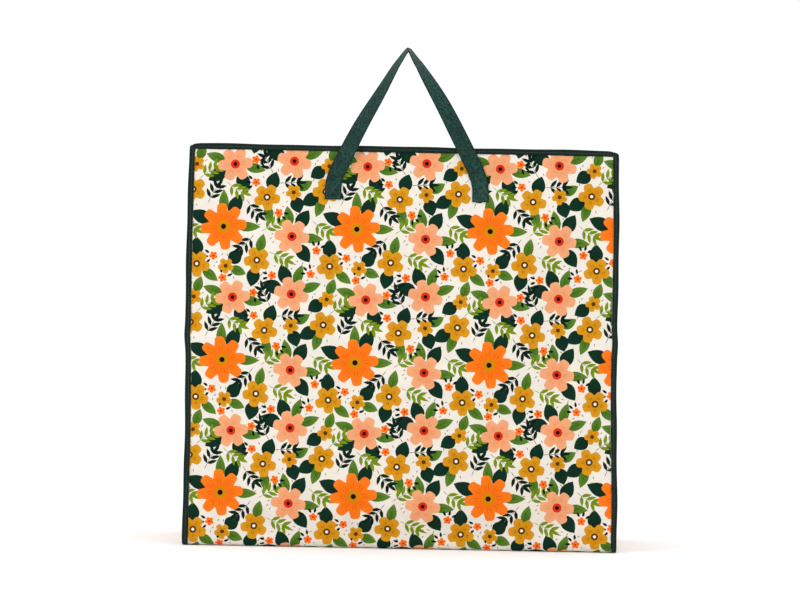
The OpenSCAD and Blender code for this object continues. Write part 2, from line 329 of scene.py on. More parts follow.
def triangulate(art, spacing=16.0):
    """One repeat as triangles whose edges follow every shape: points, triangles and corner colours."""
    half = art.side / 2
    points, faces, owners = [], [], []
    for index, (outline, *_) in enumerate(art.shapes):
        for shift_x in (-art.side, 0.0, art.side):
            for shift_y in (-art.side, 0.0, art.side):
                moved = outline + (shift_x, shift_y)
                if (moved.min(axis=0) > half).any() or (moved.max(axis=0) < -half).any():
                    continue
                faces.append(list(range(len(points), len(points) + len(moved))))
                owners.append((index, shift_x, shift_y))
                points.extend(Vector(p) for p in moved)

    # The repeat's own border, and loose points over the ground so that the sheet can curve
    count = round(art.side / spacing)
    lines = [-half + 2 * half * i / count for i in range(count + 1)]
    edges = []
    for upright in (False, True):
        for level in (-half, half):
            first = len(points)
            points += [Vector((level, at) if upright else (at, level)) for at in lines]
            edges += [(first + i, first + i + 1) for i in range(count)]
    points += [Vector((x, y)) for x in lines[1:-1] for y in lines[1:-1]]

    verts, _, triangles, _, _, sources = delaunay_2d_cdt(points, edges, faces, 0, 1e-6)
    verts = np.array([tuple(v) for v in verts])
    inside, colours = [], []
    for triangle, source in zip(triangles, sources):
        corners = verts[triangle]
        middle = corners.mean(axis=0)
        if np.abs(middle).max() > half:
            continue
        inside.append(triangle)
        if not source:
            colours.append([CREAM] * 3)
            continue
        index, shift_x, shift_y = owners[max(source)]
        _, inner, rim, centre, reach = art.shapes[index]
        away = np.linalg.norm(corners - (centre + (shift_x, shift_y)), axis=1)
        share = np.clip(away / reach, 0, 1)[:, None]
        colours.append(inner + (rim - inner) * share)
    return verts, np.array(inside), np.array(colours)


# ------------------------------------------------------------------ small tools for numbers

def smooth_step(value, low, high):
    """0 below low, 1 above high, and a smooth rise between them."""
    t = np.clip((np.asarray(value, float) - low) / (high - low), 0, 1)
    return t * t * (3 - 2 * t)


def unit(vectors):
    """The same directions with length one."""
    return vectors / np.maximum(np.linalg.norm(vectors, axis=-1, keepdims=True), 1e-12)


def signed_power(value, power):
    """A power of a number's size, with the number's own sign."""
    return math.copysign(abs(value) ** power, value)


def xyz(x, y, z):
    """Points out of their coordinates, any of which may be a single number."""
    return np.stack(np.broadcast_arrays(x, y, z), axis=1)


def distances(points):
    """The way along a line of points, from its start to each of them."""
    return np.concatenate([[0.0], np.cumsum(np.linalg.norm(np.diff(points, axis=0), axis=1))])


def resample(at, known, values):
    """Rows of values that are known at some distances, read off at others."""
    return np.stack([np.interp(at, known, column) for column in np.transpose(values)], axis=1)


def spline_sample(grid, rows, columns):
    """Values of a grid between its points, by a smooth cubic B-spline. rows and columns are in grid steps."""
    height, width = grid.shape[:2]
    total = 0.0
    r0, c0 = np.floor(rows).astype(int), np.floor(columns).astype(int)
    r, c = rows - r0, columns - c0

    def weights(t):
        return ((1 - t) ** 3 / 6, (3 * t ** 3 - 6 * t ** 2 + 4) / 6,
                (-3 * t ** 3 + 3 * t ** 2 + 3 * t + 1) / 6, t ** 3 / 6)

    for i, wr in enumerate(weights(r)):
        for j, wc in enumerate(weights(c)):
            cell = grid[np.clip(r0 + i - 1, 0, height - 1), np.clip(c0 + j - 1, 0, width - 1)]
            total = total + (wr * wc)[:, None] * cell
    return total


# ------------------------------------------------------------------ slack of the cloth

SIM_STEP = 13 * MM                              # size of the squares in the simulated shell
SIM_FRAMES = 24
SLACK_SHARE = 0.55                              # how much of the simulated movement the bag shows
TOUCHING = 1e-4                                 # points closer to an edge than this are on it
SIM_CLOTH = dict(
    quality=5, mass=0.25, tension_stiffness=25, compression_stiffness=25, shear_stiffness=8,
    bending_stiffness=3, vertex_group_mass="held", shrink_min=-0.010, use_pressure=True,
    uniform_pressure_force=0.25,
)


def shell_sides():
    """The bag's six sides as flat grids of points."""
    xs = np.linspace(-HALF_W, HALF_W, round(2 * HALF_W / SIM_STEP) + 1)
    ys = np.linspace(-HALF_D, HALF_D, round(2 * HALF_D / SIM_STEP) + 1)
    zs = np.linspace(0, SEAM_Z, round(SEAM_Z / SIM_STEP) + 1)
    sides = {
        "front": [[(x, -HALF_D, z) for x in xs] for z in zs],
        "rear": [[(x, HALF_D, z) for x in xs[::-1]] for z in zs],
        "left": [[(-HALF_W, y, z) for y in ys[::-1]] for z in zs],
        "right": [[(HALF_W, y, z) for y in ys] for z in zs],
        "base": [[(x, y, 0) for x in xs] for y in ys[::-1]],
        "top": [[(x, y, SEAM_Z) for x in xs] for y in ys],
    }
    return {name: np.array(rows) for name, rows in sides.items()}


def join_sides(sides):
    """The sides sewn together: shared points, faces, and each side's grid of point numbers."""
    index, places, faces, found = {}, [], [], {}
    for name, grid in sides.items():
        ids = np.zeros(grid.shape[:2], int)
        for i, j in np.ndindex(ids.shape):
            key = tuple(np.round(grid[i, j], 5))
            if key not in index:
                index[key] = len(places)
                places.append(key)
            ids[i, j] = index[key]
        found[name] = ids
        for i, j in np.ndindex(ids.shape[0] - 1, ids.shape[1] - 1):
            faces.append((ids[i, j], ids[i, j + 1], ids[i + 1, j + 1], ids[i + 1, j]))
    return places, [[int(v) for v in face] for face in faces], found


def simulate_slack():
    """The bag as a closed shell of cloth, slightly too large for its seams, after it has settled.
    Returns a grid of displacements for each side."""
    flat = shell_sides()
    places, faces, found = join_sides(flat)
    mesh = bpy.data.meshes.new("slack_shell")
    mesh.from_pydata(places, [], faces)
    shell = bpy.data.objects.new("slack_shell", mesh)
    bpy.context.collection.objects.link(shell)
    held = shell.vertex_groups.new(name="held")
    for i, (x, y, z) in enumerate(places):
        at_corner = abs(abs(x) - HALF_W) < TOUCHING and abs(abs(y) - HALF_D) < TOUCHING
        if at_corner or z < TOUCHING or z > SEAM_Z - TOUCHING:
            held.add([i], 1.0, "REPLACE")
    cloth = shell.modifiers.new("cloth", "CLOTH")
    for setting, value in SIM_CLOTH.items():
        setattr(cloth.settings, setting, value)
    cloth.settings.effector_weights.gravity = 0.12
    cloth.collision_settings.use_self_collision = False
    cloth.point_cache.frame_start = 1
    cloth.point_cache.frame_end = SIM_FRAMES
    for number in range(1, SIM_FRAMES + 1):
        bpy.context.scene.frame_set(number)
    depsgraph = bpy.context.evaluated_depsgraph_get()
    settled = shell.evaluated_get(depsgraph).to_mesh()
    moved = np.array([v.co for v in settled.vertices])
    bpy.context.scene.frame_set(1)
    bpy.data.objects.remove(shell)
    return {name: (moved[found[name]] - grid) * SLACK_SHARE for name, grid in flat.items()}


SLACK = simulate_slack()


def sampled_slack(name, across, up):
    """The simulated displacement of one side, at distances from its middle line and from the base."""
    grid = SLACK[name]
    turned = -across if name in ("rear", "left") else across
    half = HALF_W if name in ("front", "rear") else HALF_D
    columns = (turned + half) / (2 * half) * (grid.shape[1] - 1)
    rows = up / SEAM_Z * (grid.shape[0] - 1)
    return spline_sample(grid, np.clip(rows, 0, grid.shape[0] - 1.001),
                         np.clip(columns, 0, grid.shape[1] - 1.001))


# ------------------------------------------------------------------ shape of the filled bag

CREASE_Z = 315 * MM                             # fold left by flat packing, halfway up
FRONT_BOW = 2 * MM                              # how far the big panels stand out without the slack
GUSSET_TUCK = 15 * MM                           # how far the side panels fall in
FOLD_IN = 9 * MM                                # the flat-packing fold down the middle of each side panel
CREASE_SWELL = 1.6 * MM                         # how far the pressed fold stands out
PANEL_WAVES = 1.3 * MM
SEAM_PUCKER = 0.5 * MM


def ripple(a, b, seed):
    """Soft unevenness of hanging cloth, between -1 and 1."""
    return (
        0.45 * np.sin(a * 17 + seed + 1.3 * np.sin(b * 9 + seed))
        + 0.30 * np.sin(b * 23 + 2.1 * seed + 1.1 * np.sin(a * 14))
        + 0.25 * np.sin((a + b) * 34 + seed * 0.7 + np.sin(a * 21 - b * 13))
    )


def panel_push(across, up, half, bow, seed):
    """How far a side panel stands out from its flat place."""
    edge = np.clip(1 - (across / half) ** 2, 0, 1)
    height = np.clip(up / SEAM_Z, 0, 1)
    rise = np.sin(np.pi * height) ** 1.2
    crown = bow * edge ** 0.8 * rise
    near = np.exp(-((up - CREASE_Z - 4 * MM * np.sin(across * 9 + seed)) / (9 * MM)) ** 2)
    crease = CREASE_SWELL * near * edge ** 0.3
    waves = PANEL_WAVES * ripple(across, up, seed) * edge ** 0.6 * rise ** 0.5
    from_seam = half - np.abs(across)
    pucker = SEAM_PUCKER * np.sin(up * 150 + 2 * np.sin(up * 41 + seed)) * np.exp(-from_seam / (22 * MM))
    pucker = pucker * np.clip(from_seam / (6 * MM), 0, 1)
    return crown + crease + waves + pucker * smooth_step(up, 0.02, 0.06)


def warp(points):
    """The whole bag's slight unevenness: wider at the base, kinked at the crease, wavy seams."""
    p = np.array(points, float)
    x, y, z = p[:, 0].copy(), p[:, 1].copy(), p[:, 2].copy()
    height = np.clip(z / TOP_Z, 0, 1)
    outward = np.abs(x) / HALF_W
    kink = 0.004 * np.exp(-((z - CREASE_Z) / (16 * MM)) ** 2)
    lean = 1.2 * MM * np.sin(z * 13 + np.sign(x) * 1.1 + 0.4) * outward
    shear = -0.0075 * (np.clip(z, 0, TOP_Z) - TOP_Z / 2)
    p[:, 0] = x * (1.008 - 0.011 * height + kink) + lean * smooth_step(z, 0, 0.08) + shear + 0.7 * MM
    seam = outward ** 6 * smooth_step(np.abs(y), 0.03, 0.12)
    p[:, 1] += 1.1 * MM * np.sin(z * 21 + x * 4) * seam * smooth_step(z, 0.01, 0.1)
    top = smooth_step(z, 0.50, SEAM_Z) * smooth_step(outward, 0.1, 0.9)
    p[:, 2] -= 0.4 * MM * outward ** 8 * top
    return p


def loose(x, z, shift):
    """0 where a handle's sewn feet hold the cloth flat, and 1 away from them."""
    held = 0
    for foot_x in (shift - FOOT_GAP / 2, shift + FOOT_GAP / 2):
        held = held + np.exp(-((x - foot_x) / (62 * MM)) ** 2 - ((z - HINGE_Z + 12 * MM) / (66 * MM)) ** 2)
    return 1 - np.clip(held, 0, 1)


def panel_shape(row, x, z):
    """The front or rear panel's push outwards and its simulated movement, at places on it."""
    shift, seed = (FRONT_SHIFT, 0.8) if row == "front" else (0.0, 3.1)
    free = loose(x, z, shift)
    return panel_push(x, z, HALF_W, FRONT_BOW, seed) * free, sampled_slack(row, x, z) * free[:, None]


def front_out(x, z):
    """How far the front panel's surface stands out at a place, with all of its slack."""
    push, sag = panel_shape("front", x, z)
    return push - sag[:, 1]


def rear_out(x, z):
    """The same for the rear panel."""
    push, sag = panel_shape("rear", x, z)
    return push + sag[:, 1]


STRAIGHT = SEAM_Z - FOLD_R                      # flat part of the front or rear panel
ARC = math.pi / 2 * FOLD_R
BASE_RUN = 2 * HALF_D - 2 * FOLD_R
WRAP_LEN = 2 * STRAIGHT + 2 * ARC + BASE_RUN    # sheet length, top seam to top seam
TUCK = 3 * MM                                   # cloth that goes on into a bound seam
SEAM_SINK = 1.9 * MM                            # how deep its edge lies inside the binding


def wrap_flat(v):
    """Place and outward normal, in the y-z plane, at a distance down from the front top seam."""
    down = np.minimum(v, WRAP_LEN - v)          # from the nearer of the two top seams
    hand = np.where(v > WRAP_LEN / 2, -1.0, 1.0)
    turn = np.clip((down - STRAIGHT) / FOLD_R, 0, math.pi / 2)
    y = -HALF_D + FOLD_R * (1 - np.cos(turn)) + np.maximum(down - STRAIGHT - ARC, 0)
    z = FOLD_R * (1 - np.sin(turn)) + np.maximum(STRAIGHT - down, 0)
    return hand * y, z, -hand * np.cos(turn), -np.sin(turn)


def wrap_surface(u, v):
    """The front panel, base and rear panel, as one sheet."""
    y, z, ny, nz = wrap_flat(v)
    x = np.clip(u, -HALF_W, HALF_W)
    up = np.clip(z, 0, SEAM_Z)
    front = v < WRAP_LEN / 2
    front_push, front_sag = panel_shape("front", x, up)
    rear_push, rear_sag = panel_shape("rear", x, up)
    push, sag = np.where(front, front_push, rear_push), np.where(front[:, None], front_sag, rear_sag)
    stand = smooth_step(np.abs(v - WRAP_LEN / 2), BASE_RUN / 2 + ARC * 0.6, BASE_RUN / 2 + ARC + 45 * MM)
    p = xyz(u, y + ny * push * stand, z + nz * push * stand) + sag * stand[:, None]
    base = 1 - smooth_step(np.abs(v - WRAP_LEN / 2), BASE_RUN / 2 - 30 * MM, BASE_RUN / 2)
    p[:, 2] += 0.8 * MM * (1 + ripple(u, y, 5.0)) * base
    at_side = smooth_step(np.abs(u), HALF_W - 2 * MM, HALF_W + 1 * MM)
    at_top = smooth_step(z, SEAM_Z - 2 * MM, SEAM_Z + 1 * MM)
    sunk = SEAM_SINK * np.maximum(at_side, at_top)
    p[:, 1] -= ny * sunk
    p[:, 2] -= nz * sunk
    return warp(p)


def gusset_surface(side):
    """A side panel. u runs from front to rear, v from the top seam down."""
    name, seed = ("left", 1.9) if side < 0 else ("right", 4.4)

    def surface(u, v):
        z = SEAM_Z - v
        y, up = np.clip(u, -HALF_D, HALF_D), np.clip(z, 0, SEAM_Z)
        push = panel_push(y, up, HALF_D, -GUSSET_TUCK, seed)
        fold = FOLD_IN * np.exp(-np.abs(y - 7 * MM * np.sin(up * 5 + seed)) / (30 * MM))
        rise = np.sin(np.pi * np.clip(up / SEAM_Z, 0, 1)) ** 0.7
        x = side * (HALF_W + push - fold * rise)
        sag = sampled_slack(name, y, up) * np.array([0.8, 1.0, 0.4])
        y_round = u * (1 - 0.004 * rise)
        return warp(xyz(x, y_round, z) + sag)

    return surface


DIP = 6 * MM                                    # how far each top strip sags between its edges


def strip_surface(side):
    """A half of the top, from the zip to the top seam. u runs along the zip, v away from it."""
    def surface(u, v):
        across = FLAP_EDGE + v
        share = np.clip(v / (HALF_D - FLAP_EDGE), 0, 1)
        ends = np.clip(1 - (u / HALF_W) ** 4, 0, 1)
        dip = DIP * np.sin(np.pi * share) ** 1.1 * ends
        waves = 1.8 * MM * ripple(u, side * across, 2.2 + side) * np.sin(np.pi * share) * ends
        pucker = 0.35 * MM * np.sin(u * 190 + 2 * np.sin(u * 60)) * np.exp(-v / (12 * MM))
        pucker = pucker * smooth_step(v, 1.5 * MM, 5 * MM)
        z = SEAM_Z - dip + waves * ends + pucker
        return warp(xyz(u, side * across, z))

    return surface


def surface_normals(surface, u, v, step=0.8 * MM):
    """Directions square to a surface, on the side where u, v and outward turn like x, y and z."""
    across = surface(u + step, v) - surface(u - step, v)
    down = surface(u, v + step) - surface(u, v - step)
    return unit(np.cross(across, down))


# ------------------------------------------------------------------ meshes

def add_object(name, mesh):
    """A new object that shows a mesh."""
    piece = bpy.data.objects.new(name, mesh)
    bpy.context.collection.objects.link(piece)
    return piece


def finish_piece(piece, body, nodes):
    """Puts a piece on its body, or bakes its place into its mesh where body is a blend's four values, and
    hides the parts that it stands for.
    """
    if isinstance(body, str):
        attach(piece, body)
    else:
        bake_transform(piece)
    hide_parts(*nodes)


def merge_meshes(name, parts, material):
    """One smooth mesh out of several (points, faces, texture coordinates or None) parts."""
    verts, faces, uvs = [], [], []
    offset = 0
    for points, part_faces, part_uvs in parts:
        verts.append(points)
        for k, face in enumerate(part_faces):
            faces.append([int(i) + offset for i in face])
            uvs.extend([(0.0, 0.0)] * len(face) if part_uvs is None else part_uvs[k])
        offset += len(points)
    mesh = bpy.data.meshes.new(name)
    mesh.from_pydata(np.concatenate(verts).tolist(), [], faces)
    layer = mesh.uv_layers.new(name="UVMap")
    layer.data.foreach_set("uv", np.array(uvs, np.float32).ravel())
    mesh.materials.append(material)
    mesh.polygons.foreach_set("use_smooth", [True] * len(faces))
    mesh.update()
    return mesh


def face_outwards(mesh):
    """Turns all faces of a closed mesh outwards."""
    work = bmesh.new()
    work.from_mesh(mesh)
    bmesh.ops.recalc_face_normals(work, faces=work.faces)
    work.to_mesh(mesh)
    work.free()
    mesh.update()


def add_piece(name, parts, material, body, nodes, turn_faces=True):
    """A finished piece made of (points, faces, texture coordinates or None) parts."""
    mesh = merge_meshes(name, parts, material)
    if turn_faces:
        face_outwards(mesh)
    finish_piece(add_object(name, mesh), body, nodes)


def loft(rings, closed_path=False, closed_ring=True):
    """Quads between rings of points, and a face over each open end. Texture coordinates are in metres."""
    rings = np.array(rings)
    count, size = rings.shape[:2]
    along = distances(rings.mean(axis=1))
    along = np.append(along, 2 * along[-1] - along[-2])
    middle_ring = rings[count // 2]
    around = distances(np.vstack([middle_ring, middle_ring[:1]]))
    faces, uvs = [], []
    for i in range(count if closed_path else count - 1):
        j = (i + 1) % count
        for k in range(size if closed_ring else size - 1):
            m = (k + 1) % size
            faces.append((i * size + k, j * size + k, j * size + m, i * size + m))
            low, high = along[i], along[i + 1]
            uvs.append([(low, around[k]), (high, around[k]), (high, around[k + 1]), (low, around[k + 1])])
    if closed_ring and not closed_path:
        for ring, flip in ((0, False), (count - 1, True)):
            ids = [ring * size + k for k in range(size)]
            corners = [tuple(rings[ring, k, :2]) for k in range(size)]
            faces.append(ids[::-1] if flip else ids)
            uvs.append(corners[::-1] if flip else corners)
    return rings.reshape(-1, 3), faces, uvs


def stitch_marks(path, normals, pitch, length, width, height, closed=False):
    """Rounded stitches laid end to end along a line of points, as one part of a piece."""
    path, normals = np.array(path), np.array(normals)
    if closed:
        path, normals = np.vstack([path, path[:1]]), np.vstack([normals, normals[:1]])
    reach = distances(path)
    count = max(1, int(reach[-1] / pitch))
    at = (np.arange(count) + 0.5) * reach[-1] / count
    centre = resample(at, reach, path)
    along = unit(resample(at + pitch / 4, reach, path) - resample(at - pitch / 4, reach, path))
    up = unit(resample(at, reach, normals))
    side = unit(np.cross(up, along))
    template, stations, sides = [], (-0.36, -0.1, 0.1, 0.36), 6
    for station in stations:
        swell = 1.0 if abs(station) < 0.2 else 0.72
        for k in range(sides):
            a = math.tau * k / sides
            template.append((station * length, 0.5 * width * swell * math.cos(a),
                             0.5 * height * swell * math.sin(a) - (0.25 - 0.25 * swell) * height))
    template += [(-0.5 * length, 0, -0.3 * height), (0.5 * length, 0, -0.3 * height)]
    faces = []
    for i in range(len(stations) - 1):
        for k in range(sides):
            m = (k + 1) % sides
            faces.append((i * sides + k, (i + 1) * sides + k, (i + 1) * sides + m, i * sides + m))
    first, last, far = len(template) - 2, len(template) - 1, (len(stations) - 1) * sides
    for k in range(sides):
        m = (k + 1) % sides
        faces.append((first, k, m))
        faces.append((last, far + m, far + k))
    template = np.array(template)
    points = (centre[:, None] + along[:, None] * template[None, :, :1]
              + side[:, None] * template[None, :, 1:2] + up[:, None] * template[None, :, 2:])
    size = len(template)
    all_faces = [tuple(f + i * size for f in face) for i in range(count) for face in faces]
    return points.reshape(-1, 3), all_faces, None


# ------------------------------------------------------------------ materials

class Shader:
    """A Principled material that is built up one node at a time."""

    def __init__(self, name, roughness, **fixed):
        self.material = bpy.data.materials.new(name)
        self.material.use_nodes = True
        self.tree = self.material.node_tree
        self.surface = self.tree.nodes["Principled BSDF"]
        self.surface.inputs["Roughness"].default_value = roughness
        for socket, value in fixed.items():
            self.surface.inputs[socket.replace("_", " ")].default_value = value
        self.place = self.node("TexCoord").outputs["Object"]

    def node(self, kind, settings=(), **inputs):
        """A new node. An input is given by its name, or as i and its number, and is linked or set."""
        made = self.tree.nodes.new("ShaderNode" + kind)
        for key, value in dict(settings).items():
            setattr(made, key, value)
        for key, value in inputs.items():
            socket = made.inputs[int(key[1:])] if key[0] == "i" and key[1:].isdigit() else made.inputs[key]
            if isinstance(value, bpy.types.NodeSocket):
                self.tree.links.new(value, socket)
            else:
                socket.default_value = value
        return made

    def uv(self):
        return self.node("UVMap", {"uv_map": "UVMap"}).outputs[0]

    def noise(self, scale, detail=3.0):
        return self.node("TexNoise", Vector=self.place, Scale=scale, Detail=detail).outputs["Fac"]

    def math(self, operation, a, b):
        return self.node("Math", {"operation": operation}, i0=a, i1=b).outputs[0]

    def times(self, a, b):
        return self.math("MULTIPLY", a, b)

    def spread(self, value, low, high, start=0.0, end=1.0):
        """A value from start to end, moved into the range from low to high."""
        ranges = {"From Min": start, "From Max": end, "To Min": low, "To Max": high}
        return self.node("MapRange", Value=value, **ranges).outputs[0]

    def mix(self, share, a, b, blend="MIX"):
        a, b = (v if isinstance(v, bpy.types.NodeSocket) else (*v, 1.0) for v in (a, b))
        return self.node("MixRGB", {"blend_type": blend}, Fac=share, Color1=a, Color2=b).outputs[0]

    def bump(self, height, distance, strength=1.0):
        """Adds a bump on top of those that are there."""
        old = self.surface.inputs["Normal"]
        made = self.node("Bump", Height=height, Distance=distance, Strength=strength)
        if old.links:
            self.tree.links.new(old.links[0].from_socket, made.inputs["Normal"])
        self.tree.links.new(made.outputs[0], old)

    def bands(self, coordinates, period, direction):
        settings = {"wave_type": "BANDS", "bands_direction": direction, "wave_profile": "SIN"}
        return self.node("TexWave", settings, Vector=coordinates, Scale=math.pi / 10 / period).outputs["Fac"]

    def into(self, socket, output):
        self.tree.links.new(output, self.surface.inputs[socket])


def woven_bump(shader, period, depth):
    """A plain weave: ribs one way crossed with ribs the other way."""
    coordinates = shader.uv()
    warp_ribs = shader.bands(coordinates, period, "X")
    weft_ribs = shader.bands(coordinates, period * 1.15, "Y")
    shader.bump(shader.times(warp_ribs, weft_ribs), depth)
    return warp_ribs, weft_ribs


def printed_cloth():
    shader = Shader("printed_cloth", 0.7, Sheen_Weight=0.01, Specular_IOR_Level=0.05)
    colour = shader.node("Attribute", {"attribute_name": "Print"}).outputs["Color"]
    ribs, _ = woven_bump(shader, 1.1 * MM, 0.10 * MM)
    fade = shader.spread(shader.noise(42.0), 0.76, 0.94)
    thread = shader.spread(ribs, 0.95, 1.03)
    value = shader.times(fade, thread)
    shader.into("Base Color", shader.mix(1.0, colour, value, "MULTIPLY"))
    shader.into("Roughness", shader.spread(shader.noise(90.0), 0.60, 0.80))
    shader.bump(shader.noise(26.0, 2.0), 1.4 * MM, 0.5)
    return shader.material


def plain_lining():
    shader = Shader("plain_lining", 0.6, Sheen_Weight=0.1)
    _, ribs = woven_bump(shader, 1.3 * MM, 0.12 * MM)
    shade = shader.mix(shader.noise(30.0), INSIDE, ink(214, 207, 192))
    shader.into("Base Color", shader.mix(shader.times(ribs, 0.2), shade, ink(196, 188, 172)))
    shader.bump(shader.noise(20.0, 2.0), 1.5 * MM, 0.5)
    return shader.material


def ribbed_tape(name, base, light, period=1.5 * MM, sheen=0.03):
    """Grosgrain tape: ribs across the tape, with a little wear and dust."""
    shader = Shader(name, 0.72, Sheen_Weight=sheen, Specular_IOR_Level=0.15)
    ribs = shader.bands(shader.uv(), period, "X")
    fleck = shader.noise(160.0, 4.0)
    share = shader.times(ribs, shader.spread(fleck, 0.1, 0.95))
    shader.into("Base Color", shader.mix(share, base, light))
    shader.into("Roughness", shader.spread(fleck, 0.6, 0.85))
    shader.bump(ribs, 0.22 * MM, 0.9)
    shader.bump(shader.noise(60.0, 3.0), 0.8 * MM, 0.5)
    return shader.material


def twill_webbing():
    shader = Shader("twill_webbing", 0.68, Sheen_Weight=0.03, Specular_IOR_Level=0.2)
    web_uv = shader.uv()
    parts = shader.node("SeparateXYZ", Vector=web_uv)
    chevron = shader.math("PINGPONG", parts.outputs["Y"], 3.2 * MM)
    along = shader.math("ADD", parts.outputs["X"], chevron)
    slant = shader.node("CombineXYZ", X=along).outputs[0]
    twill = shader.bands(slant, 2.1 * MM, "X")
    rows = shader.bands(web_uv, 1.3 * MM, "Y")
    fleck = shader.spread(shader.noise(330.0, 3.0), 0.0, 1.0, 0.36, 0.64)
    worn = shader.spread(shader.noise(24.0), 0.45, 1.1, 0.3, 0.7)
    share = shader.times(shader.spread(twill, 0.5, 1.0), shader.times(fleck, worn))
    # Painted shade along both edges of the webbing: the colour darkens towards them
    from_edge = shader.math("PINGPONG", shader.math("ADD", parts.outputs["Y"], 1 * MM), 12.6 * MM)
    share = shader.times(share, shader.spread(from_edge, 0.1, 1.0, 0.9 * MM, 3.0 * MM))
    shader.into("Base Color", shader.mix(share, ink(3, 32, 26), ink(36, 86, 75)))
    shader.into("Roughness", shader.spread(twill, 0.82, 0.6))
    shader.bump(twill, 0.30 * MM, 0.9)
    shader.bump(rows, 0.10 * MM, 0.6)
    return shader.material


def thread_material():
    shader = Shader("sewing_thread", 0.5, Sheen_Weight=0.3)
    ply = shader.noise(1500.0, 2.0)
    shader.into("Base Color", shader.mix(ply, ink(14, 34, 27), ink(46, 72, 61)))
    shader.bump(ply, 0.12 * MM)
    return shader.material


def coil_material():
    shader = Shader("zip_coil", 0.38, Coat_Weight=0.15)
    grain = shader.noise(700.0, 3.0)
    shader.into("Base Color", shader.mix(grain, ink(20, 28, 25), ink(40, 50, 45)))
    shader.into("Roughness", shader.spread(grain, 0.3, 0.5))
    return shader.material


def zip_metal():
    shader = Shader("painted_zip_metal", 0.35, Metallic=0.55, Coat_Weight=0.3)
    cast = shader.noise(420.0, 4.0)
    wear = shader.math("GREATER_THAN", shader.noise(900.0, 5.0), 0.66)
    paint = shader.mix(cast, ink(26, 34, 31), ink(44, 54, 49))
    shader.into("Base Color", shader.mix(shader.times(wear, 0.35), paint, ink(120, 126, 120)))
    shader.into("Roughness", shader.spread(cast, 0.26, 0.46))
    shader.bump(cast, 0.08 * MM)
    return shader.material


PRINT = printed_cloth()
LINING = plain_lining()
BINDING = ribbed_tape("binding_grosgrain", ink(2, 12, 8), ink(24, 56, 44))
ZIP_TAPE = ribbed_tape("zip_tape_weave", ink(18, 27, 23), ink(40, 52, 45), 0.9 * MM, 0.04)
WEBBING = twill_webbing()
THREAD = thread_material()
COIL = coil_material()
METAL = zip_metal()


# ------------------------------------------------------------------ the printed sheets

ARTWORK = draw_artwork()
TILE_POINTS, TILE_FACES, TILE_COLOURS = triangulate(ARTWORK)
TILE = ARTWORK.side * MM                        # side of the repeat
LINING_STEP = 18 * MM                           # size of the squares of the inner face
CLOTH_T = 1.2 * MM                              # thickness of the cloth


def cut_flat(flat, axis, value, outward=1, trim=False):
    """Cuts a flat mesh across an axis. trim takes away what lies outward of the cut."""
    cut_at, normal = [0, 0, 0], [0, 0, 0]
    cut_at[axis], normal[axis] = value, outward
    everything = flat.verts[:] + flat.edges[:] + flat.faces[:]
    bmesh.ops.bisect_plane(
        flat, geom=everything, dist=1e-6, plane_co=cut_at, plane_no=normal, clear_outer=trim,
    )


def stamped_sheet(low, high, offset, cuts):
    """The print repeated over a flat rectangle and trimmed to it.
    cuts are (axis, value) lines of extra edges."""
    flat = bmesh.new()
    layer = flat.loops.layers.float_color.new("Print")
    first = np.floor((np.array(low) - offset) / TILE + 0.5).astype(int)
    last = np.floor((np.array(high) - offset) / TILE + 0.5).astype(int)
    for column in range(first[0], last[0] + 1):
        for row in range(first[1], last[1] + 1):
            shift = np.array(offset) + np.array([column, row]) * TILE
            points = TILE_POINTS * MM + shift
            corners = points[TILE_FACES]
            keep = ((corners.max(axis=1) > low) & (corners.min(axis=1) < high)).all(axis=1)
            used = np.unique(TILE_FACES[keep])
            made = {int(i): flat.verts.new((points[i, 0], points[i, 1], 0)) for i in used}
            for ids, colours in zip(TILE_FACES[keep], TILE_COLOURS[keep]):
                face = flat.faces.new([made[int(i)] for i in ids])
                for loop, colour in zip(face.loops, colours):
                    loop[layer] = (*colour, 1.0)
    bmesh.ops.remove_doubles(flat, verts=flat.verts, dist=0.02 * MM)
    for axis in (0, 1):
        cut_flat(flat, axis, low[axis], -1, trim=True)
        cut_flat(flat, axis, high[axis], 1, trim=True)
    for axis, value in cuts:
        cut_flat(flat, axis, value)
    bmesh.ops.triangulate(flat, faces=flat.faces)
    return flat


def lining_lines(low, high, extra):
    """Grid lines of the plain inner face: even ones, and the cuts of the printed face."""
    count = max(2, round((high - low) / LINING_STEP))
    lines = [low, high] + [at for at in extra if low < at < high]
    for at in np.linspace(low, high, count + 1)[1:-1]:
        if min(abs(at - other) for other in lines) > LINING_STEP * 0.3:
            lines.append(at)
    return sorted(lines)


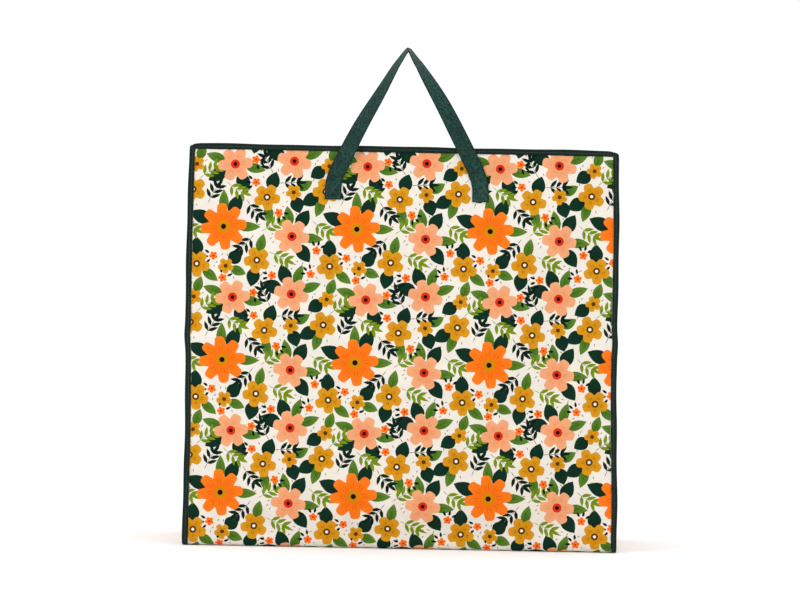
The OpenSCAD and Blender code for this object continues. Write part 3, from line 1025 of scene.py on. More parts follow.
def printed_sheet(name, surface, low, high, offset, facing, cuts=(), steady=True):
    """A printed sheet with a plain inner face. facing is 1 where u, v and outward turn like x, y, z,
    and -1 where they turn the other way. steady keeps the exact normals of the surface."""
    flat = stamped_sheet(np.array(low), np.array(high), np.array(offset), cuts)
    rows = lining_lines(low[1], high[1], [at for axis, at in cuts if axis == 1])
    columns = lining_lines(low[0], high[0], [at for axis, at in cuts if axis == 0])
    layer = flat.loops.layers.float_color["Print"]
    grid = [[flat.verts.new((u, v, 1.0)) for u in columns] for v in rows]
    for i in range(len(rows) - 1):
        for j in range(len(columns) - 1):
            face = flat.faces.new((grid[i][j], grid[i + 1][j], grid[i + 1][j + 1], grid[i][j + 1]))
            face.material_index = 1
            for loop in face.loops:
                loop[layer] = (*INSIDE, 1.0)
    if facing < 0:
        bmesh.ops.reverse_faces(flat, faces=flat.faces)
    mesh = bpy.data.meshes.new(name)
    flat.to_mesh(mesh)
    flat.free()
    at = np.zeros(len(mesh.vertices) * 3)
    mesh.vertices.foreach_get("co", at)
    at = at.reshape(-1, 3)
    corners = np.zeros(len(mesh.loops), int)
    mesh.loops.foreach_get("vertex_index", corners)
    layer = mesh.uv_layers.new(name="UVMap")
    layer.data.foreach_set("uv", at[corners, :2].astype(np.float32).ravel())
    inner = at[:, 2] > 0.5
    u, v = at[:, 0].copy(), at[:, 1].copy()
    outward = surface_normals(surface, u, v) * facing
    points = surface(u, v) - outward * (inner * CLOTH_T)[:, None]
    mesh.vertices.foreach_set("co", points.ravel())
    mesh.update()
    mesh.materials.append(PRINT)
    mesh.materials.append(LINING)
    mesh.polygons.foreach_set("use_smooth", [True] * len(mesh.polygons))
    if steady:
        mesh.normals_split_custom_set_from_vertices(np.where(inner[:, None], -outward, outward).tolist())
    return add_object(name, mesh)


FOLD_CUTS = [(1, v) for start in (STRAIGHT, STRAIGHT + ARC + BASE_RUN)
             for v in np.linspace(start - 1 * MM, start + ARC + 1 * MM, 6)]
CREASE_V = SEAM_Z - CREASE_Z
CREASE_CUTS = [(1, CREASE_V + d * MM) for d in (-10, 0, 10)]
REAR_CREASE_CUTS = [(1, WRAP_LEN - v) for _, v in CREASE_CUTS]
FOLD_IN_CUTS = [(0, d * MM) for d in (-30, -16, -7, 0, 7, 16, 30)]

wrap = printed_sheet(
    "printed_main_wrap", wrap_surface, (-HALF_W - TUCK, -TUCK), (HALF_W + TUCK, WRAP_LEN + TUCK),
    (0.031, 0.047), -1, FOLD_CUTS + CREASE_CUTS + REAR_CREASE_CUTS,
)
finish_piece(wrap, "bag", ["main_wrap"])

for side, hand in ((-1, "left"), (1, "right")):
    gusset = printed_sheet(
        f"printed_{hand}_gusset", gusset_surface(side), (-HALF_D - TUCK * 0.4, -TUCK),
        (HALF_D + TUCK * 0.4, SEAM_Z - 1.6 * MM), (0.083 * side, 0.021), -side, CREASE_CUTS + FOLD_IN_CUTS,
    )
    finish_piece(gusset, "bag", [f"{hand}_gusset"])


# ------------------------------------------------------------------ bound seams
# A bound seam in section: (distance out from the seam, distance out from the panel), in millimetres.

SEAM_SECTION = (
    (-1.0, 0.2), (0.6, 0.7), (2.0, 0.6), (3.0, 0.2), (4.0, 0.6), (5.4, 0.85), (6.8, 0.6), (7.7, -0.3),
    (8.0, -1.6), (7.7, -2.8), (6.8, -3.5), (5.4, -3.8), (4.0, -3.5), (3.0, -3.1), (2.0, -3.5),
    (0.6, -3.7), (-1.0, -3.0),
)
STITCH_AT = 3.0 * MM                            # from the seam to the line of stitching
STITCH_OUTER, STITCH_INNER = 0.35 * MM, -3.25 * MM  # where the two faces of the seam are on that line
STITCH_SIZE = dict(pitch=3.8 * MM, length=3.1 * MM, width=0.75 * MM, height=0.6 * MM)
FOOT_STITCH_SIZE = dict(pitch=2.9 * MM, length=2.5 * MM, width=0.7 * MM, height=0.55 * MM)
RUN_ON = 7.5 * MM                               # how far a side binding goes on above the top seam
CORNER_CUT = 3.2 * MM                           # slant of the seam at the bag's top corners


def side_fin(side, v, out, stand):
    """A point of a side's bound seam. v follows the wrap, out leaves the seam, stand leaves the panel."""
    y, z, ny, nz = wrap_flat(v)
    floor = np.clip(-nz, 0, 1)                  # 1 under the base, where nothing may stand out
    stand = np.minimum(stand, (1 - floor) * MM)
    flop = 0.9 * MM * np.sin(v * 19 + side) + 0.6 * MM * np.sin(v * 47 + 2 * side)
    stand = stand + flop * (out / FIN) * (1 - floor)
    top = smooth_step(z, SEAM_Z - 4 * MM, TOP_Z)
    z = z - (1.6 * MM + CORNER_CUT * np.clip(out / FIN, 0, 1) ** 2) * top
    out = out * (1 - 0.05 * top)
    edge = 0.35 * MM * np.sin(v * 60 + side * 2) * (out / FIN)
    return warp(xyz(side * (HALF_W + out + edge), y + ny * stand, z + nz * stand))


def top_path(step=5 * MM, corner=3 * MM):
    """Points and outward directions of the top seam, all the way round."""
    hx, hy = HALF_W - corner, HALF_D - corner
    places = []
    for cx, cy, first in ((hx, -hy, -90), (hx, hy, 0), (-hx, hy, 90), (-hx, -hy, 180)):
        for k in range(5):
            a = math.radians(first + 22.5 * k)
            places.append((cx + corner * math.cos(a), cy + corner * math.sin(a), math.cos(a), math.sin(a)))
        x1, y1 = places[-1][0], places[-1][1]
        a = math.radians(first + 90)
        run = 2 * (hy if first in (-90, 90) else hx)
        count = round(run / step)
        for k in range(1, count):
            far = run * k / count
            places.append((x1 - far * math.sin(a), y1 + far * math.cos(a), math.cos(a), math.sin(a)))
    return np.array(places)


def top_fin(path, out, stand):
    """A point of the top bound seam: out is upwards from the seam, stand is away from the middle."""
    x, y, nx, ny = path.T
    low_ends = 1 - 0.03 * np.abs(x / HALF_W) ** 5 - 0.08 * smooth_step(np.abs(x), HALF_W - 8 * MM, HALF_W)
    wave = 0.05 * np.sin(x * 23 + y * 31) + 0.03 * np.sin(x * 61 - y * 37)
    up = out * (low_ends + wave)
    flop = (1.1 * MM * np.sin(x * 15 + y * 9 + 1) + 0.7 * MM * np.sin(x * 39)) * out / FIN
    away = stand + flop
    return warp(xyz(x + nx * away, y + ny * away, SEAM_Z + up))


def stitched(name, runs, size, body, nodes, closed=False):
    """A piece made of several lines of stitching, each a (points, normals) pair."""
    parts = [stitch_marks(points, normals, closed=closed, **size) for points, normals in runs]
    add_piece(name, parts, THREAD, body, nodes, turn_faces=False)


def fin_faces(place):
    """The two lines of stitching on a bound seam, one on each of its faces."""
    front, back = place(STITCH_AT, STITCH_OUTER), place(STITCH_AT, STITCH_INNER)
    outward = unit(front - back)
    return [(front, outward), (back, -outward)]


def seam_rings(place):
    """The section of a bound seam, repeated along it."""
    return np.stack([place(out * MM, stand * MM) for out, stand in SEAM_SECTION], axis=1)


v_line = np.linspace(-RUN_ON, WRAP_LEN + RUN_ON, 420)
sewn = v_line[(v_line > -5 * MM) & (v_line < WRAP_LEN + 5 * MM)]
for side, hand in ((-1, "left"), (1, "right")):
    rings = seam_rings(partial(side_fin, side, v_line))
    add_piece(f"{hand}_side_binding_tape", [loft(rings)], BINDING,
              "bag", [f"{hand}_side_binding"])
    stitched(f"{hand}_side_binding_thread", fin_faces(partial(side_fin, side, sewn)),
             STITCH_SIZE, "bag", [f"{hand}_binding_stitching"])

place_top = partial(top_fin, top_path())
add_piece("top_binding_tape", [loft(seam_rings(place_top), closed_path=True)], BINDING,
          "bag", ["top_binding"])
stitched("top_binding_thread", fin_faces(place_top),
         STITCH_SIZE, "bag", ["top_binding_stitching"], closed=True)


# ------------------------------------------------------------------ top: two strips and the zip

STRIP_W = HALF_D - 2 * MM - FLAP_EDGE           # from the folded edge to inside the top seam
STRIP_END = HALF_W - 1.5 * MM
BEND_FROM = 296 * MM                            # from the middle to where a flap starts to lift
BEND_TO = 170 * MM                              # and to where it moves with its joint
BEND_STEP = 9 * MM                              # distance between the lines along which it bends
ZIP_TAPE_LOW, ZIP_TAPE_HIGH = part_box("front_zip_tape")
_, TAIL_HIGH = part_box("right_zip_tail_tape")
STOP_LOW, STOP_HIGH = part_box("right_zip_stop")
ZIP_TAPE_T = 0.8 * MM


def flap_blend(end, flap):
    """The four blend values of a piece on one half of a flap: the bag, the flap, and two points, one towards
    its end and one towards the middle.
    """
    return ("bag", flap, (end * BEND_FROM, 0, SEAM_Z), (end * BEND_TO, 0, SEAM_Z))


def hem_section(surface, us, side):
    """The folded edge of a strip, in section: round the fold and back underneath."""
    radius = 0.75 * MM
    edge = surface(us, np.zeros_like(us))
    rings = []
    for k in range(9):
        a = math.radians(90 + 180 * k / 8)
        rings.append(edge + np.array([0, side * radius * math.cos(a), radius * (math.sin(a) - 1)]))
    rings.append(edge + np.array([0, side * 7 * MM, -2 * radius]))
    return np.stack(rings, axis=1)


def tape_line(surface, side, xs, across):
    """A line along the zip tape: level by the coil, and lying against the strip where it is under it."""
    line = warp(xyz(xs, side * across, ZIP_TAPE_HIGH[2]))
    if across > FLAP_EDGE:
        under = surface(xs, np.full_like(xs, across - FLAP_EDGE))[:, 2] - CLOTH_T - 0.5 * MM
        line[:, 2] = np.minimum(line[:, 2], under)
    return line


def zip_coil(end, side, pitch=1.9 * MM, steps=9, sides=5):
    """Half of one row of coil, as the spring of nylon that it is."""
    length = STOP_LOW[0] - 0.5 * MM
    turns = int(length / pitch)
    t = np.linspace(0, turns * math.tau, turns * steps + 1)
    x = end * (t / math.tau * pitch + 0.1 * MM) + (0.25 if side > 0 else -0.25) * pitch
    reach_in, reach_out = 0.15 * MM, 3.0 * MM
    half_height, wire = 0.8 * MM, 0.36 * MM
    middle, half = (reach_in + reach_out) / 2, (reach_out - reach_in) / 2 - 0.3 * MM
    y = side * (middle + half * np.cos(t))
    z = (CHAIN_LOW[2] + CHAIN_HIGH[2]) / 2 + half_height * np.sin(t)
    path = warp(xyz(x, y, z))
    tangent = unit(np.gradient(path, axis=0))
    across = unit(np.cross(tangent, np.array([1.0, 0, 0])))
    lift = np.cross(across, tangent)
    angles = [math.tau * k / sides for k in range(sides)]
    rings = np.stack([path + wire * (math.cos(a) * across + math.sin(a) * lift) for a in angles], axis=1)
    return loft(rings)


for side, row in ((-1, "front"), (1, "rear")):
    surface = strip_surface(side)
    flap = f"{row}_flap"
    for end, hand in ((-1, "left"), (1, "right")):
        low, high = (0.0, STRIP_END) if end > 0 else (-STRIP_END, 0.0)
        bends = flap_blend(end, flap)
        bend_cuts = [(0, end * at) for at in np.arange(BEND_TO - BEND_STEP, BEND_FROM + BEND_STEP, BEND_STEP)]
        bend_cuts += [(1, at) for at in np.linspace(0, STRIP_W, 10)[1:-1]]
        strip = printed_sheet(f"{row}_top_strip_{hand}", surface, (low, 0.0), (high, STRIP_W),
                              (0.06, 0.055 * side), side, bend_cuts, steady=False)
        finish_piece(strip, bends, [flap])

        us = np.linspace(low, high, 90)
        add_piece(f"{row}_strip_hem_{hand}", [loft(hem_section(surface, us, side), closed_ring=False)],
                  LINING, bends, [flap], turn_faces=False)

        sewn = np.linspace(low, high, 160)[slice(3, -1) if end < 0 else slice(1, -3)]
        seam = surface(sewn, np.full_like(sewn, 2.7 * MM)) + np.array([0, 0, 0.15 * MM])
        stitched(f"{row}_strip_thread_{hand}", [(seam, np.tile([0.0, 0, 1], (len(seam), 1)))],
                 STITCH_SIZE, bends, [f"{row}_flap_stitching"])

        xs = end * np.linspace(0, TAIL_HIGH[0], 64)
        edges = np.linspace(-ZIP_TAPE_HIGH[1], -ZIP_TAPE_LOW[1], 7)
        top = [tape_line(surface, side, xs, e) for e in edges]
        below = [line - np.array([0, 0, ZIP_TAPE_T]) for line in reversed(top)]
        add_piece(f"{row}_zip_tape_{hand}", [loft(np.stack(top + below, axis=1))], ZIP_TAPE,
                  bends, [f"{row}_zip_tape", f"{hand}_zip_tail_tape"])
        add_piece(f"{row}_zip_coil_{hand}", [zip_coil(end, side)], COIL,
                  bends, [f"{row}_zip_chain", f"{hand}_zip_tail_chain"])


def end_tab_surface(end):
    """The cloth that covers the zip's end. u runs outwards from the tab's folded edge, v across the zip."""
    def surface(u, v):
        x = end * (TAIL_HIGH[0] - 1 * MM + u)
        lift = 1.1 * MM + 0.4 * MM * np.sin(v * 90) - 0.5 * MM * (v / (24 * MM)) ** 2
        z = SEAM_Z + lift * (1 - 0.6 * smooth_step(u, 0.010, 0.026))
        return warp(xyz(x, v, z))

    return surface


TAB_LEN = STRIP_END - TAIL_HIGH[0] + 1 * MM
TAB_HALF = 25 * MM
for end, hand in ((-1, "left"), (1, "right")):
    surface = end_tab_surface(end)
    tab = printed_sheet(f"{hand}_top_end_cloth", surface, (0.0, -TAB_HALF), (TAB_LEN, TAB_HALF),
                        (0.05 * end, 0.02), end, steady=False)
    finish_piece(tab, "bag", ["top_panel_frame"])


# ------------------------------------------------------------------ slider, pull and stops

def cut_plate(name, outline, holes, low, high, bevel):
    """A flat plate with rounded edges, as one part of a piece. Its outline and holes are seen from above."""
    curve = bpy.data.curves.new(name, "CURVE")
    curve.dimensions = "2D"
    curve.fill_mode = "BOTH"
    for points in (outline, *holes):
        spline = curve.splines.new("POLY")
        spline.points.add(len(points) - 1)
        for point, (x, y) in zip(spline.points, points):
            point.co = (x, y, 0, 1)
        spline.use_cyclic_u = True
    curve.extrude = (high - low) / 2 - bevel
    curve.bevel_depth = bevel
    curve.bevel_resolution = 2
    curve.offset = -bevel
    source = bpy.data.objects.new(name, curve)
    bpy.context.collection.objects.link(source)
    bpy.context.view_layer.update()
    mesh = bpy.data.meshes.new_from_object(source.evaluated_get(bpy.context.evaluated_depsgraph_get()))
    bpy.data.objects.remove(source)
    points = np.array([v.co for v in mesh.vertices]) + np.array([0, 0, (low + high) / 2])
    faces = [tuple(p.vertices) for p in mesh.polygons]
    bpy.data.meshes.remove(mesh)
    return points, faces, None


def ellipse(x, y, half_x, half_y, power=2.0, steps=48):
    """A closed outline between an ellipse, power 2, and a rounded rectangle, a higher power."""
    outline = []
    for k in range(steps):
        a = math.tau * k / steps
        outline.append((x + half_x * signed_power(math.cos(a), 2 / power),
                        y + half_y * signed_power(math.sin(a), 2 / power)))
    return outline


def rod(points, width, height, sides=10):
    """A bent metal strip with rounded sides along points in the x-z plane."""
    points = np.array(points, float)
    tangent = unit(np.gradient(points, axis=0))
    lift = np.stack([-tangent[:, 2], 0 * tangent[:, 0], tangent[:, 0]], axis=1)
    rings = []
    for k in range(sides):
        a = math.tau * k / sides
        rings.append(points + np.array([0, 1.0, 0]) * width / 2 * signed_power(math.cos(a), 0.6)
                     + lift * height / 2 * signed_power(math.sin(a), 0.6))
    return loft(np.stack(rings, axis=1))


SLIDER_LOW, SLIDER_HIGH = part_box("zip_slider")
PULL_LOW, PULL_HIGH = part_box("zip_pull")
PULL_AXIS = JOINTS["pull_swing"]["pos_m"]
MOUNTS = {m["name"]: m for m in frame["record"]["mounts"]}
HOLE_X = MOUNTS["pull_hole"]["pos_m"][0]
PLATE_T = 1.2 * MM                              # thickness of the slider's two plates
PLATE_GAP = 0.4 * MM                            # between a plate and the coil
TAB_BEVEL = 0.4 * MM
HOLE_R = 2.0 * MM                               # the hole in the pull
NECK_HALF = 3.9 * MM                            # half width of the pull at the bail
slider_x = (SLIDER_LOW[0] + SLIDER_HIGH[0]) / 2
slider_half = (SLIDER_HIGH[0] - SLIDER_LOW[0]) / 2
slider_side = SLIDER_HIGH[1]


def slider_outline():
    """The shield shape of a zip slider: broad shoulders at one end and a narrower tail."""
    half_outline = []
    for k in range(25):
        t = k / 24
        x = slider_x + slider_half * math.cos(math.pi * t)
        width = slider_side * (1 - 0.26 * smooth_step(-(x - slider_x), -1 * MM, slider_half))
        rounding = min(1.0, math.sin(math.pi * t) * 1.9) ** 0.55
        half_outline.append((x, width * rounding))
    return half_outline + [(x, -y) for x, y in half_outline[-2:0:-1]]


plates_top = CHAIN_HIGH[2] + PLATE_GAP
plates_bottom = CHAIN_LOW[2] - PLATE_GAP
parts = [
    cut_plate("upper", slider_outline(), [], plates_top, plates_top + PLATE_T, 0.35 * MM),
    cut_plate("lower", slider_outline(), [], plates_bottom - PLATE_T, plates_bottom, 0.35 * MM),
]
lip_heights = (
    (plates_top - 0.5 * MM, plates_top + 0.2 * MM),
    (plates_bottom - 0.2 * MM, plates_bottom + 0.5 * MM),
)
for hand in (-1, 1):
    lip = ellipse(slider_x - 1 * MM, hand * (slider_side - 1.3 * MM), slider_half * 0.72, 0.7 * MM, 6)
    parts += [cut_plate("lip", lip, [], low, high, 0.15 * MM) for low, high in lip_heights]
post = ellipse(slider_x + slider_half * 0.45, 0, 2.4 * MM, 0.45 * MM)
parts.append(cut_plate("post", post, [], plates_bottom, plates_top, 0.1 * MM))
bail_top = SLIDER_HIGH[2] - 0.6 * MM
bail_base = plates_top + PLATE_T * 0.8
bail_half = 4.5 * MM
bail = []
for k in range(21):
    a = math.pi * k / 20
    bail.append((PULL_AXIS[0] + bail_half * signed_power(math.cos(a), 0.5), 0,
                 bail_base + (bail_top - bail_base) * math.sin(a) ** 0.6))
parts.append((*rod(bail, 2.4 * MM, 1.1 * MM)[:2], None))
add_piece("zip_slider_body", parts, METAL, "slider", ["zip_slider"])

# The pull: a loop round the bail that widens into a tab with a hole
pull_half = PULL_HIGH[1]
pull_len = PULL_HIGH[0] - PULL_LOW[0]
outline = []
for k in range(33):
    t = k / 32
    x = PULL_HIGH[0] - pull_len * (1 - math.cos(math.pi * t)) / 2
    share = (PULL_HIGH[0] - x) / pull_len
    width = NECK_HALF + (pull_half - NECK_HALF) * float(smooth_step(share, 0.12, 0.62))
    outline.append((x, width * min(1.0, math.sin(math.pi * t) * 1.6) ** 0.5))
outline += [(x, -y) for x, y in outline[-2:0:-1]]
window = ellipse(PULL_AXIS[0] - 5.1 * MM, 0, 4.3 * MM, 1.7 * MM, 4)
eye = ellipse(HOLE_X, 0, HOLE_R + TAB_BEVEL, HOLE_R + TAB_BEVEL)
boss = ellipse(HOLE_X + 8.2 * MM, 0, 3.4 * MM, 2.3 * MM, 3)
pull_low, pull_high = PULL_LOW[2], PULL_HIGH[2]
parts = [
    cut_plate("tab", outline, [window, eye], pull_low, pull_high, TAB_BEVEL),
    cut_plate("boss", boss, [], pull_low + 0.1 * MM, pull_high, 0.3 * MM),
]
add_piece("zip_pull_tab", parts, METAL, "pull", ["zip_pull"])

for end, hand in ((-1, "left"), (1, "right")):
    middle = end * (STOP_LOW[0] + STOP_HIGH[0]) / 2
    bar = ellipse(middle, 0, (STOP_HIGH[0] - STOP_LOW[0]) / 2, STOP_HIGH[1], 5)
    parts = [cut_plate("stop", bar, [], STOP_LOW[2], STOP_HIGH[2], 0.5 * MM)]
    add_piece(f"{hand}_zip_stop_bar", parts, METAL, "bag", [f"{hand}_zip_stop"])


# ------------------------------------------------------------------ webbing handles

LOOP_HALF = FOOT_GAP / 2
PEAK = 206 * MM                                 # where the two legs' lines would meet
APEX_ROUND = 8 * MM
BOW_LEFT, BOW_RIGHT = 8 * MM, 13 * MM           # how far each leg bulges outwards
SETTLE = 20 * MM                                # stretch over which the fold squares up
LOOP_RISE = PEAK - APEX_ROUND
PEAK_SLOPE = math.sqrt(PEAK ** 2 - APEX_ROUND ** 2) / LOOP_HALF
RAISED_LEAN, HANGING_LEAN = 7, 174              # degrees outwards from upright
TWIST_LEFT, TWIST_RIGHT = 1.1, 2.0              # how late each leg turns edge-on, on its way up
MOST_TWIST = 80                                 # degrees, at the top of the loop
FOLD_CLEAR = 3 * MM                             # room between a hanging loop and the panel


def rise_at(x):
    """Height of the loop's middle line above its feet, along the loop's own plane."""
    near = min(1.0, abs(x) / (20 * MM))
    bow = (BOW_LEFT if x < 0 else BOW_RIGHT) * math.sin(math.pi * abs(x) / LOOP_HALF) * near
    return PEAK - math.hypot(PEAK_SLOPE * x, APEX_ROUND) + bow


def loop_frames(lean, rear, shift):
    """A handle loop from its left end to its right, as frames: (middle, wide direction, thick direction,
    rise above the feet)."""
    a = math.radians(90 + lean)
    tilt = np.array([[1, 0, 0], [0, math.cos(a), -math.sin(a)], [0, math.sin(a), math.cos(a)]])
    # Closer together at the feet, where the webbing turns over
    steps = [22, 21.97, 21.93, 21.88, 21.8, 21.7, 21.55, 21.35] + list(np.arange(21.1, 0, -0.3))
    frames = []
    for i in [-s for s in steps] + [0.0] + steps[::-1]:
        x = LOOP_HALF * signed_power(i / 22, 1.4)
        rise = max(0.8 * MM, rise_at(x))
        slope = (rise_at(x + 0.1 * MM) - rise_at(x - 0.1 * MM)) / (0.2 * MM)
        out = np.array([-slope, 1.0]) / math.hypot(slope, 1)
        settle = min(1.0, rise / SETTLE)
        out = out * settle + np.array([math.copysign(1, x) if x else 0, 0]) * (1 - settle)
        out = out / np.linalg.norm(out)
        share = min(1.0, rise / LOOP_RISE)
        twist = math.radians(MOST_TWIST * share ** (TWIST_LEFT if x < 0 else TWIST_RIGHT))
        spare = math.cos(twist) - math.cos(math.radians(90 * share))
        wide = tilt @ np.array([*(out * math.cos(twist)), -math.sin(twist)])
        thick = tilt @ np.array([*(out * math.sin(twist)), math.cos(twist)])
        away = WEB_W / 2 * math.sin(twist) * float(smooth_step(rise, 25 * MM, 80 * MM))
        away += FOLD_CLEAR * float(smooth_step(rise, 30 * MM, 100 * MM))
        middle = tilt @ np.array([x, rise, -WEB_T / 2 - away]) + np.array([shift, -HINGE_OUT, HINGE_Z])
        middle = middle - tilt @ np.array([*out, 0.0]) * spare * WEB_W / 2
        # Small waves that real webbing keeps
        middle = middle + thick * 1.0 * MM * math.sin(rise * 52 + 2 * np.sign(x)) * min(1, rise / (30 * MM))
        if rear:
            flip = np.array([1, -1, 1])
            middle, wide, thick = middle * flip, wide * flip, thick * flip
        frames.append((middle, wide, thick, rise))
    return frames


def relaxed(frames, reach=12 * MM, rounds=40):
    """Evenly spaced frames in which webbing leaves its sewn ends in a soft curve instead of a corner."""
    values = np.array([np.concatenate([*frame[:3], frame[3:]]) for frame in frames])
    gone = distances(values[:, :3])
    even = np.linspace(0, gone[-1], round(gone[-1] / (2 * MM)) + 1)
    values = resample(even, gone, values)
    ends = np.minimum(even, even[-1] - even)
    free = np.exp(-((ends - FOOT_LEN - 3 * MM) / reach) ** 2)
    free *= smooth_step(ends, FOOT_LEN * 0.45, FOOT_LEN * 0.8)
    for _ in range(rounds):
        mean = values.copy()
        mean[1:-1] = (values[:-2] + values[2:]) / 2
        values += (mean - values) * free[:, None]
    # Closer rings where the webbing folds over its sewn end
    fold = [at + side * d for at, side in ((FOOT_LEN, 1), (even[-1] - FOOT_LEN, -1))
            for d in np.arange(-3 * MM, 9 * MM, 0.5 * MM)]
    fine = np.unique(np.round(np.concatenate([even, fold]), 6))
    fine = fine[np.concatenate([[True], np.diff(fine) > 0.2 * MM])]
    values = resample(fine, even, values)
    return [(row[:3], unit(row[3:6]), unit(row[6:9]), row[9]) for row in values]


def webbing_section():
    """The outline of the webbing cut across, as (along its width, along its thickness)."""
    half_w, half_t = WEB_W / 2, WEB_T / 2
    flat = (-0.93, -0.7, -0.4, 0, 0.4, 0.7, 0.93)
    section = [(a * half_w, half_t) for a in flat]
    section += [(0.985 * half_w, half_t * 0.7), (half_w, 0), (0.985 * half_w, -half_t * 0.7)]
    section += [(a * half_w, -half_t) for a in reversed(flat)]
    section += [(-0.985 * half_w, -half_t * 0.7), (-half_w, 0), (-0.985 * half_w, half_t * 0.7)]
    return section


def box_and_cross(row, shift, stands):
    """The stitching of a handle's two sewn ends."""
    outward = 1 if row == "rear" else -1
    low, high = FOOT_LOW[2] + 3 * MM, FOOT_HIGH[2] - 3.5 * MM
    wide = WEB_W / 2 - 3 * MM
    box = [(-wide, low), (wide, low), (wide, high), (-wide, high), (-wide, low)]
    runs = []
    for hand in (-1, 1):
        for points in (box, [(-wide, low), (wide, high)], [(-wide, high), (wide, low)]):
            line = []
            for (xa, za), (xb, zb) in zip(points[:-1], points[1:]):
                for share in np.linspace(0, 1, 12, endpoint=False):
                    line.append((xa + (xb - xa) * share, za + (zb - za) * share))
            line = np.array(line + [points[-1]])
            x, z = shift + hand * LOOP_HALF + line[:, 0], line[:, 1]
            y = outward * (HALF_D + stands(x, z) + WEB_T + 0.4 * MM)
            runs.append((warp(xyz(x, y, z)), np.tile([0.0, outward, 0], (len(x), 1))))
    stitched(f"{row}_handle_thread", runs, FOOT_STITCH_SIZE, "bag", [f"{row}_foot_stitching"])


def handle(name, rear, lean, shift, bends, nodes):
    """One length of webbing: sewn end, loop, sewn end."""
    outward = 1 if rear else -1
    stands = rear_out if rear else front_out
    foot_zs = np.linspace(FOOT_LOW[2], FOOT_HIGH[2] - 0.6 * MM, 12)

    def stand_at(x, z):
        return float(stands(np.array([x]), np.array([z]))[0])

    def foot(hand):
        x = shift + hand * LOOP_HALF
        frames = []
        for z in foot_zs:
            y = outward * (HALF_D + stand_at(x, z) + WEB_T / 2 + 0.3 * MM)
            frames.append((np.array([x, y, z]), np.array([hand, 0.0, 0]), np.array([0, outward, 0.0]), 1.0))
        return frames

    def turn_over(hand):
        """The tight fold at the top of a rear sewn end, where the loop turns down."""
        if not rear:
            return []
        x = shift + hand * LOOP_HALF
        near, far = HALF_D + WEB_T / 2, HINGE_OUT + WEB_T / 2
        stand = stand_at(x, HINGE_Z)
        frames = []
        for k in range(1, 8):
            a = math.pi * k / 8
            y = (near + far) / 2 - (far - near) / 2 * math.cos(a) + stand
            z = FOOT_HIGH[2] - 0.4 * MM + (far - near) / 2 * math.sin(a)
            lift = np.array([0, -math.cos(a), math.sin(a)])
            frames.append((np.array([x, y, z]), np.array([hand, 0.0, 0]), -lift, 1.0))
        return frames

    loop = []
    for middle, wide, thick, rise in loop_frames(lean, rear, shift):
        side = -1 if middle[0] < shift else 1
        near = 1 - float(smooth_step(rise, 0, 40 * MM))
        stand = stand_at(shift + side * LOOP_HALF, HINGE_Z) * near
        loop.append((middle + np.array([0, outward * stand, 0]), wide, thick, near))
    frames = foot(-1) + turn_over(-1) + loop + turn_over(1)[::-1] + foot(1)[::-1]
    if not rear:
        frames = relaxed(frames)
    section = webbing_section()
    rings = np.array([[m + w * a + t * b for a, b in section] for m, w, t, _ in frames])
    # The sewn ends follow the cloth under them right across their width
    for ring, (middle, _, _, near) in zip(rings, frames):
        level = np.full(len(ring), min(middle[2], HINGE_Z))
        ring[:, 1] += outward * near * (stands(ring[:, 0], level) - stand_at(middle[0], level[0]))
    warped = warp(rings.reshape(-1, 3)).reshape(rings.shape)
    add_piece(name, [loft(warped)], WEBBING, bends, nodes)
    box_and_cross("rear" if rear else "front", shift, stands)


handle(
    "front_handle_webbing", False, RAISED_LEAN, FRONT_SHIFT,
    ("bag", "front_handle", (0, -HINGE_OUT, HINGE_Z - 1.2 * MM), (0, -HINGE_OUT, HINGE_Z + 2.4 * MM)),
    ["front_left_foot", "front_right_foot", "front_handle_loop"],
)
handle(
    "rear_handle_webbing", True, HANGING_LEAN, 0.0,
    ("bag", "rear_handle", (0, HALF_D + WEB_T + 0.9 * MM, HINGE_Z), (0, HINGE_OUT + 1.7 * MM, HINGE_Z)),
    ["rear_left_foot", "rear_right_foot", "rear_handle_loop"],
)


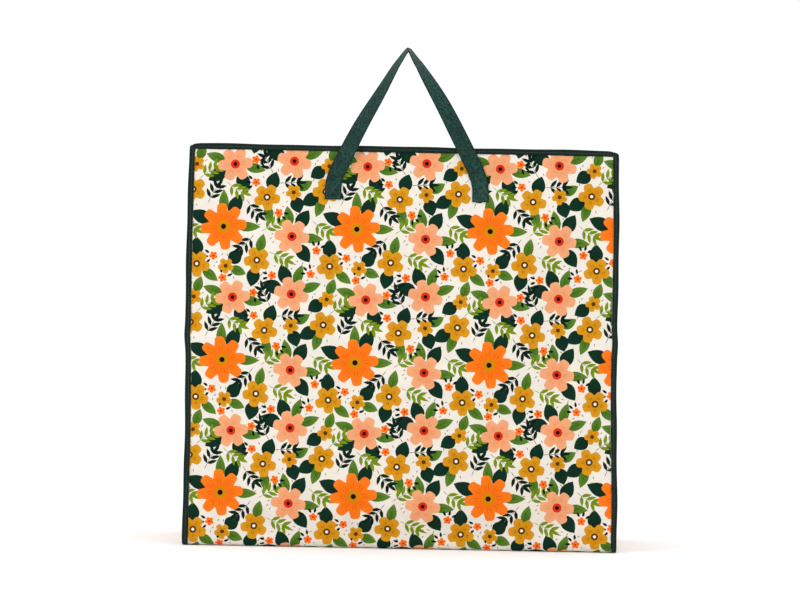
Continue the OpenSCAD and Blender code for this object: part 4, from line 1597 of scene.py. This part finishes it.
# ------------------------------------------------------------------ floor, light and camera

FLOOR_HALF = 30.0
FLOOR_Z = -0.0004                               # just under the bag


def studio():
    """A plain pale floor, wide enough to fill every view."""
    shader = Shader("studio_paper", 0.9)
    shader.into("Base Color", shader.mix(shader.noise(3.0), ink(251, 251, 251), ink(253, 253, 253)))
    rings = [[(x, y, FLOOR_Z) for x in (-FLOOR_HALF, FLOOR_HALF)] for y in (-FLOOR_HALF, FLOOR_HALF)]
    mesh = merge_meshes("studio_floor", [loft(rings, closed_ring=False)], shader.material)
    floor = add_object("studio_floor", mesh)


def area_light(name, place, target, size, power):
    """A square light that points at a target."""
    data = bpy.data.lights.new(name, "AREA")
    data.energy, data.size, data.shape = power, size, "SQUARE"
    lamp = bpy.data.objects.new(name, data)
    bpy.context.collection.objects.link(lamp)
    lamp.location = place
    lamp.rotation_euler = (Vector(target) - Vector(place)).to_track_quat("-Z", "Y").to_euler()


studio()
area_light("key_light", (-2.2, -2.4, 2.4), (0, 0, 0.3), 1.2, 30)
area_light("rear_light", (2.4, 2.6, 2.2), (0, 0, 0.3), 1.6, 16)
area_light("top_light", (0.2, -0.3, 3.0), (0, 0, 0.3), 2.2, 10)
world = bpy.data.worlds.new("studio_air")
world.use_nodes = True
world.node_tree.nodes["Background"].inputs["Color"].default_value = (1, 1, 1, 1)
world.node_tree.nodes["Background"].inputs["Strength"].default_value = 1.06
bpy.context.scene.world = world
bpy.context.scene.view_settings.view_transform = "Standard"

CAMERA_DISTANCE = 4.5
VIEW_WIDTH = 1.2048                             # width of the picture at the front panel
ROLL = -1.1                                     # the bag stands very slightly turned in the picture
camera_data = bpy.data.cameras.new("camera")
camera_data.sensor_width = 36
camera_data.lens = 36 * CAMERA_DISTANCE / VIEW_WIDTH
camera = bpy.data.objects.new("camera", camera_data)
bpy.context.collection.objects.link(camera)
camera.location = (-0.003, -HALF_D - CAMERA_DISTANCE, 0.375)
camera.rotation_euler = (math.radians(90), math.radians(ROLL), 0)
bpy.context.scene.camera = camera
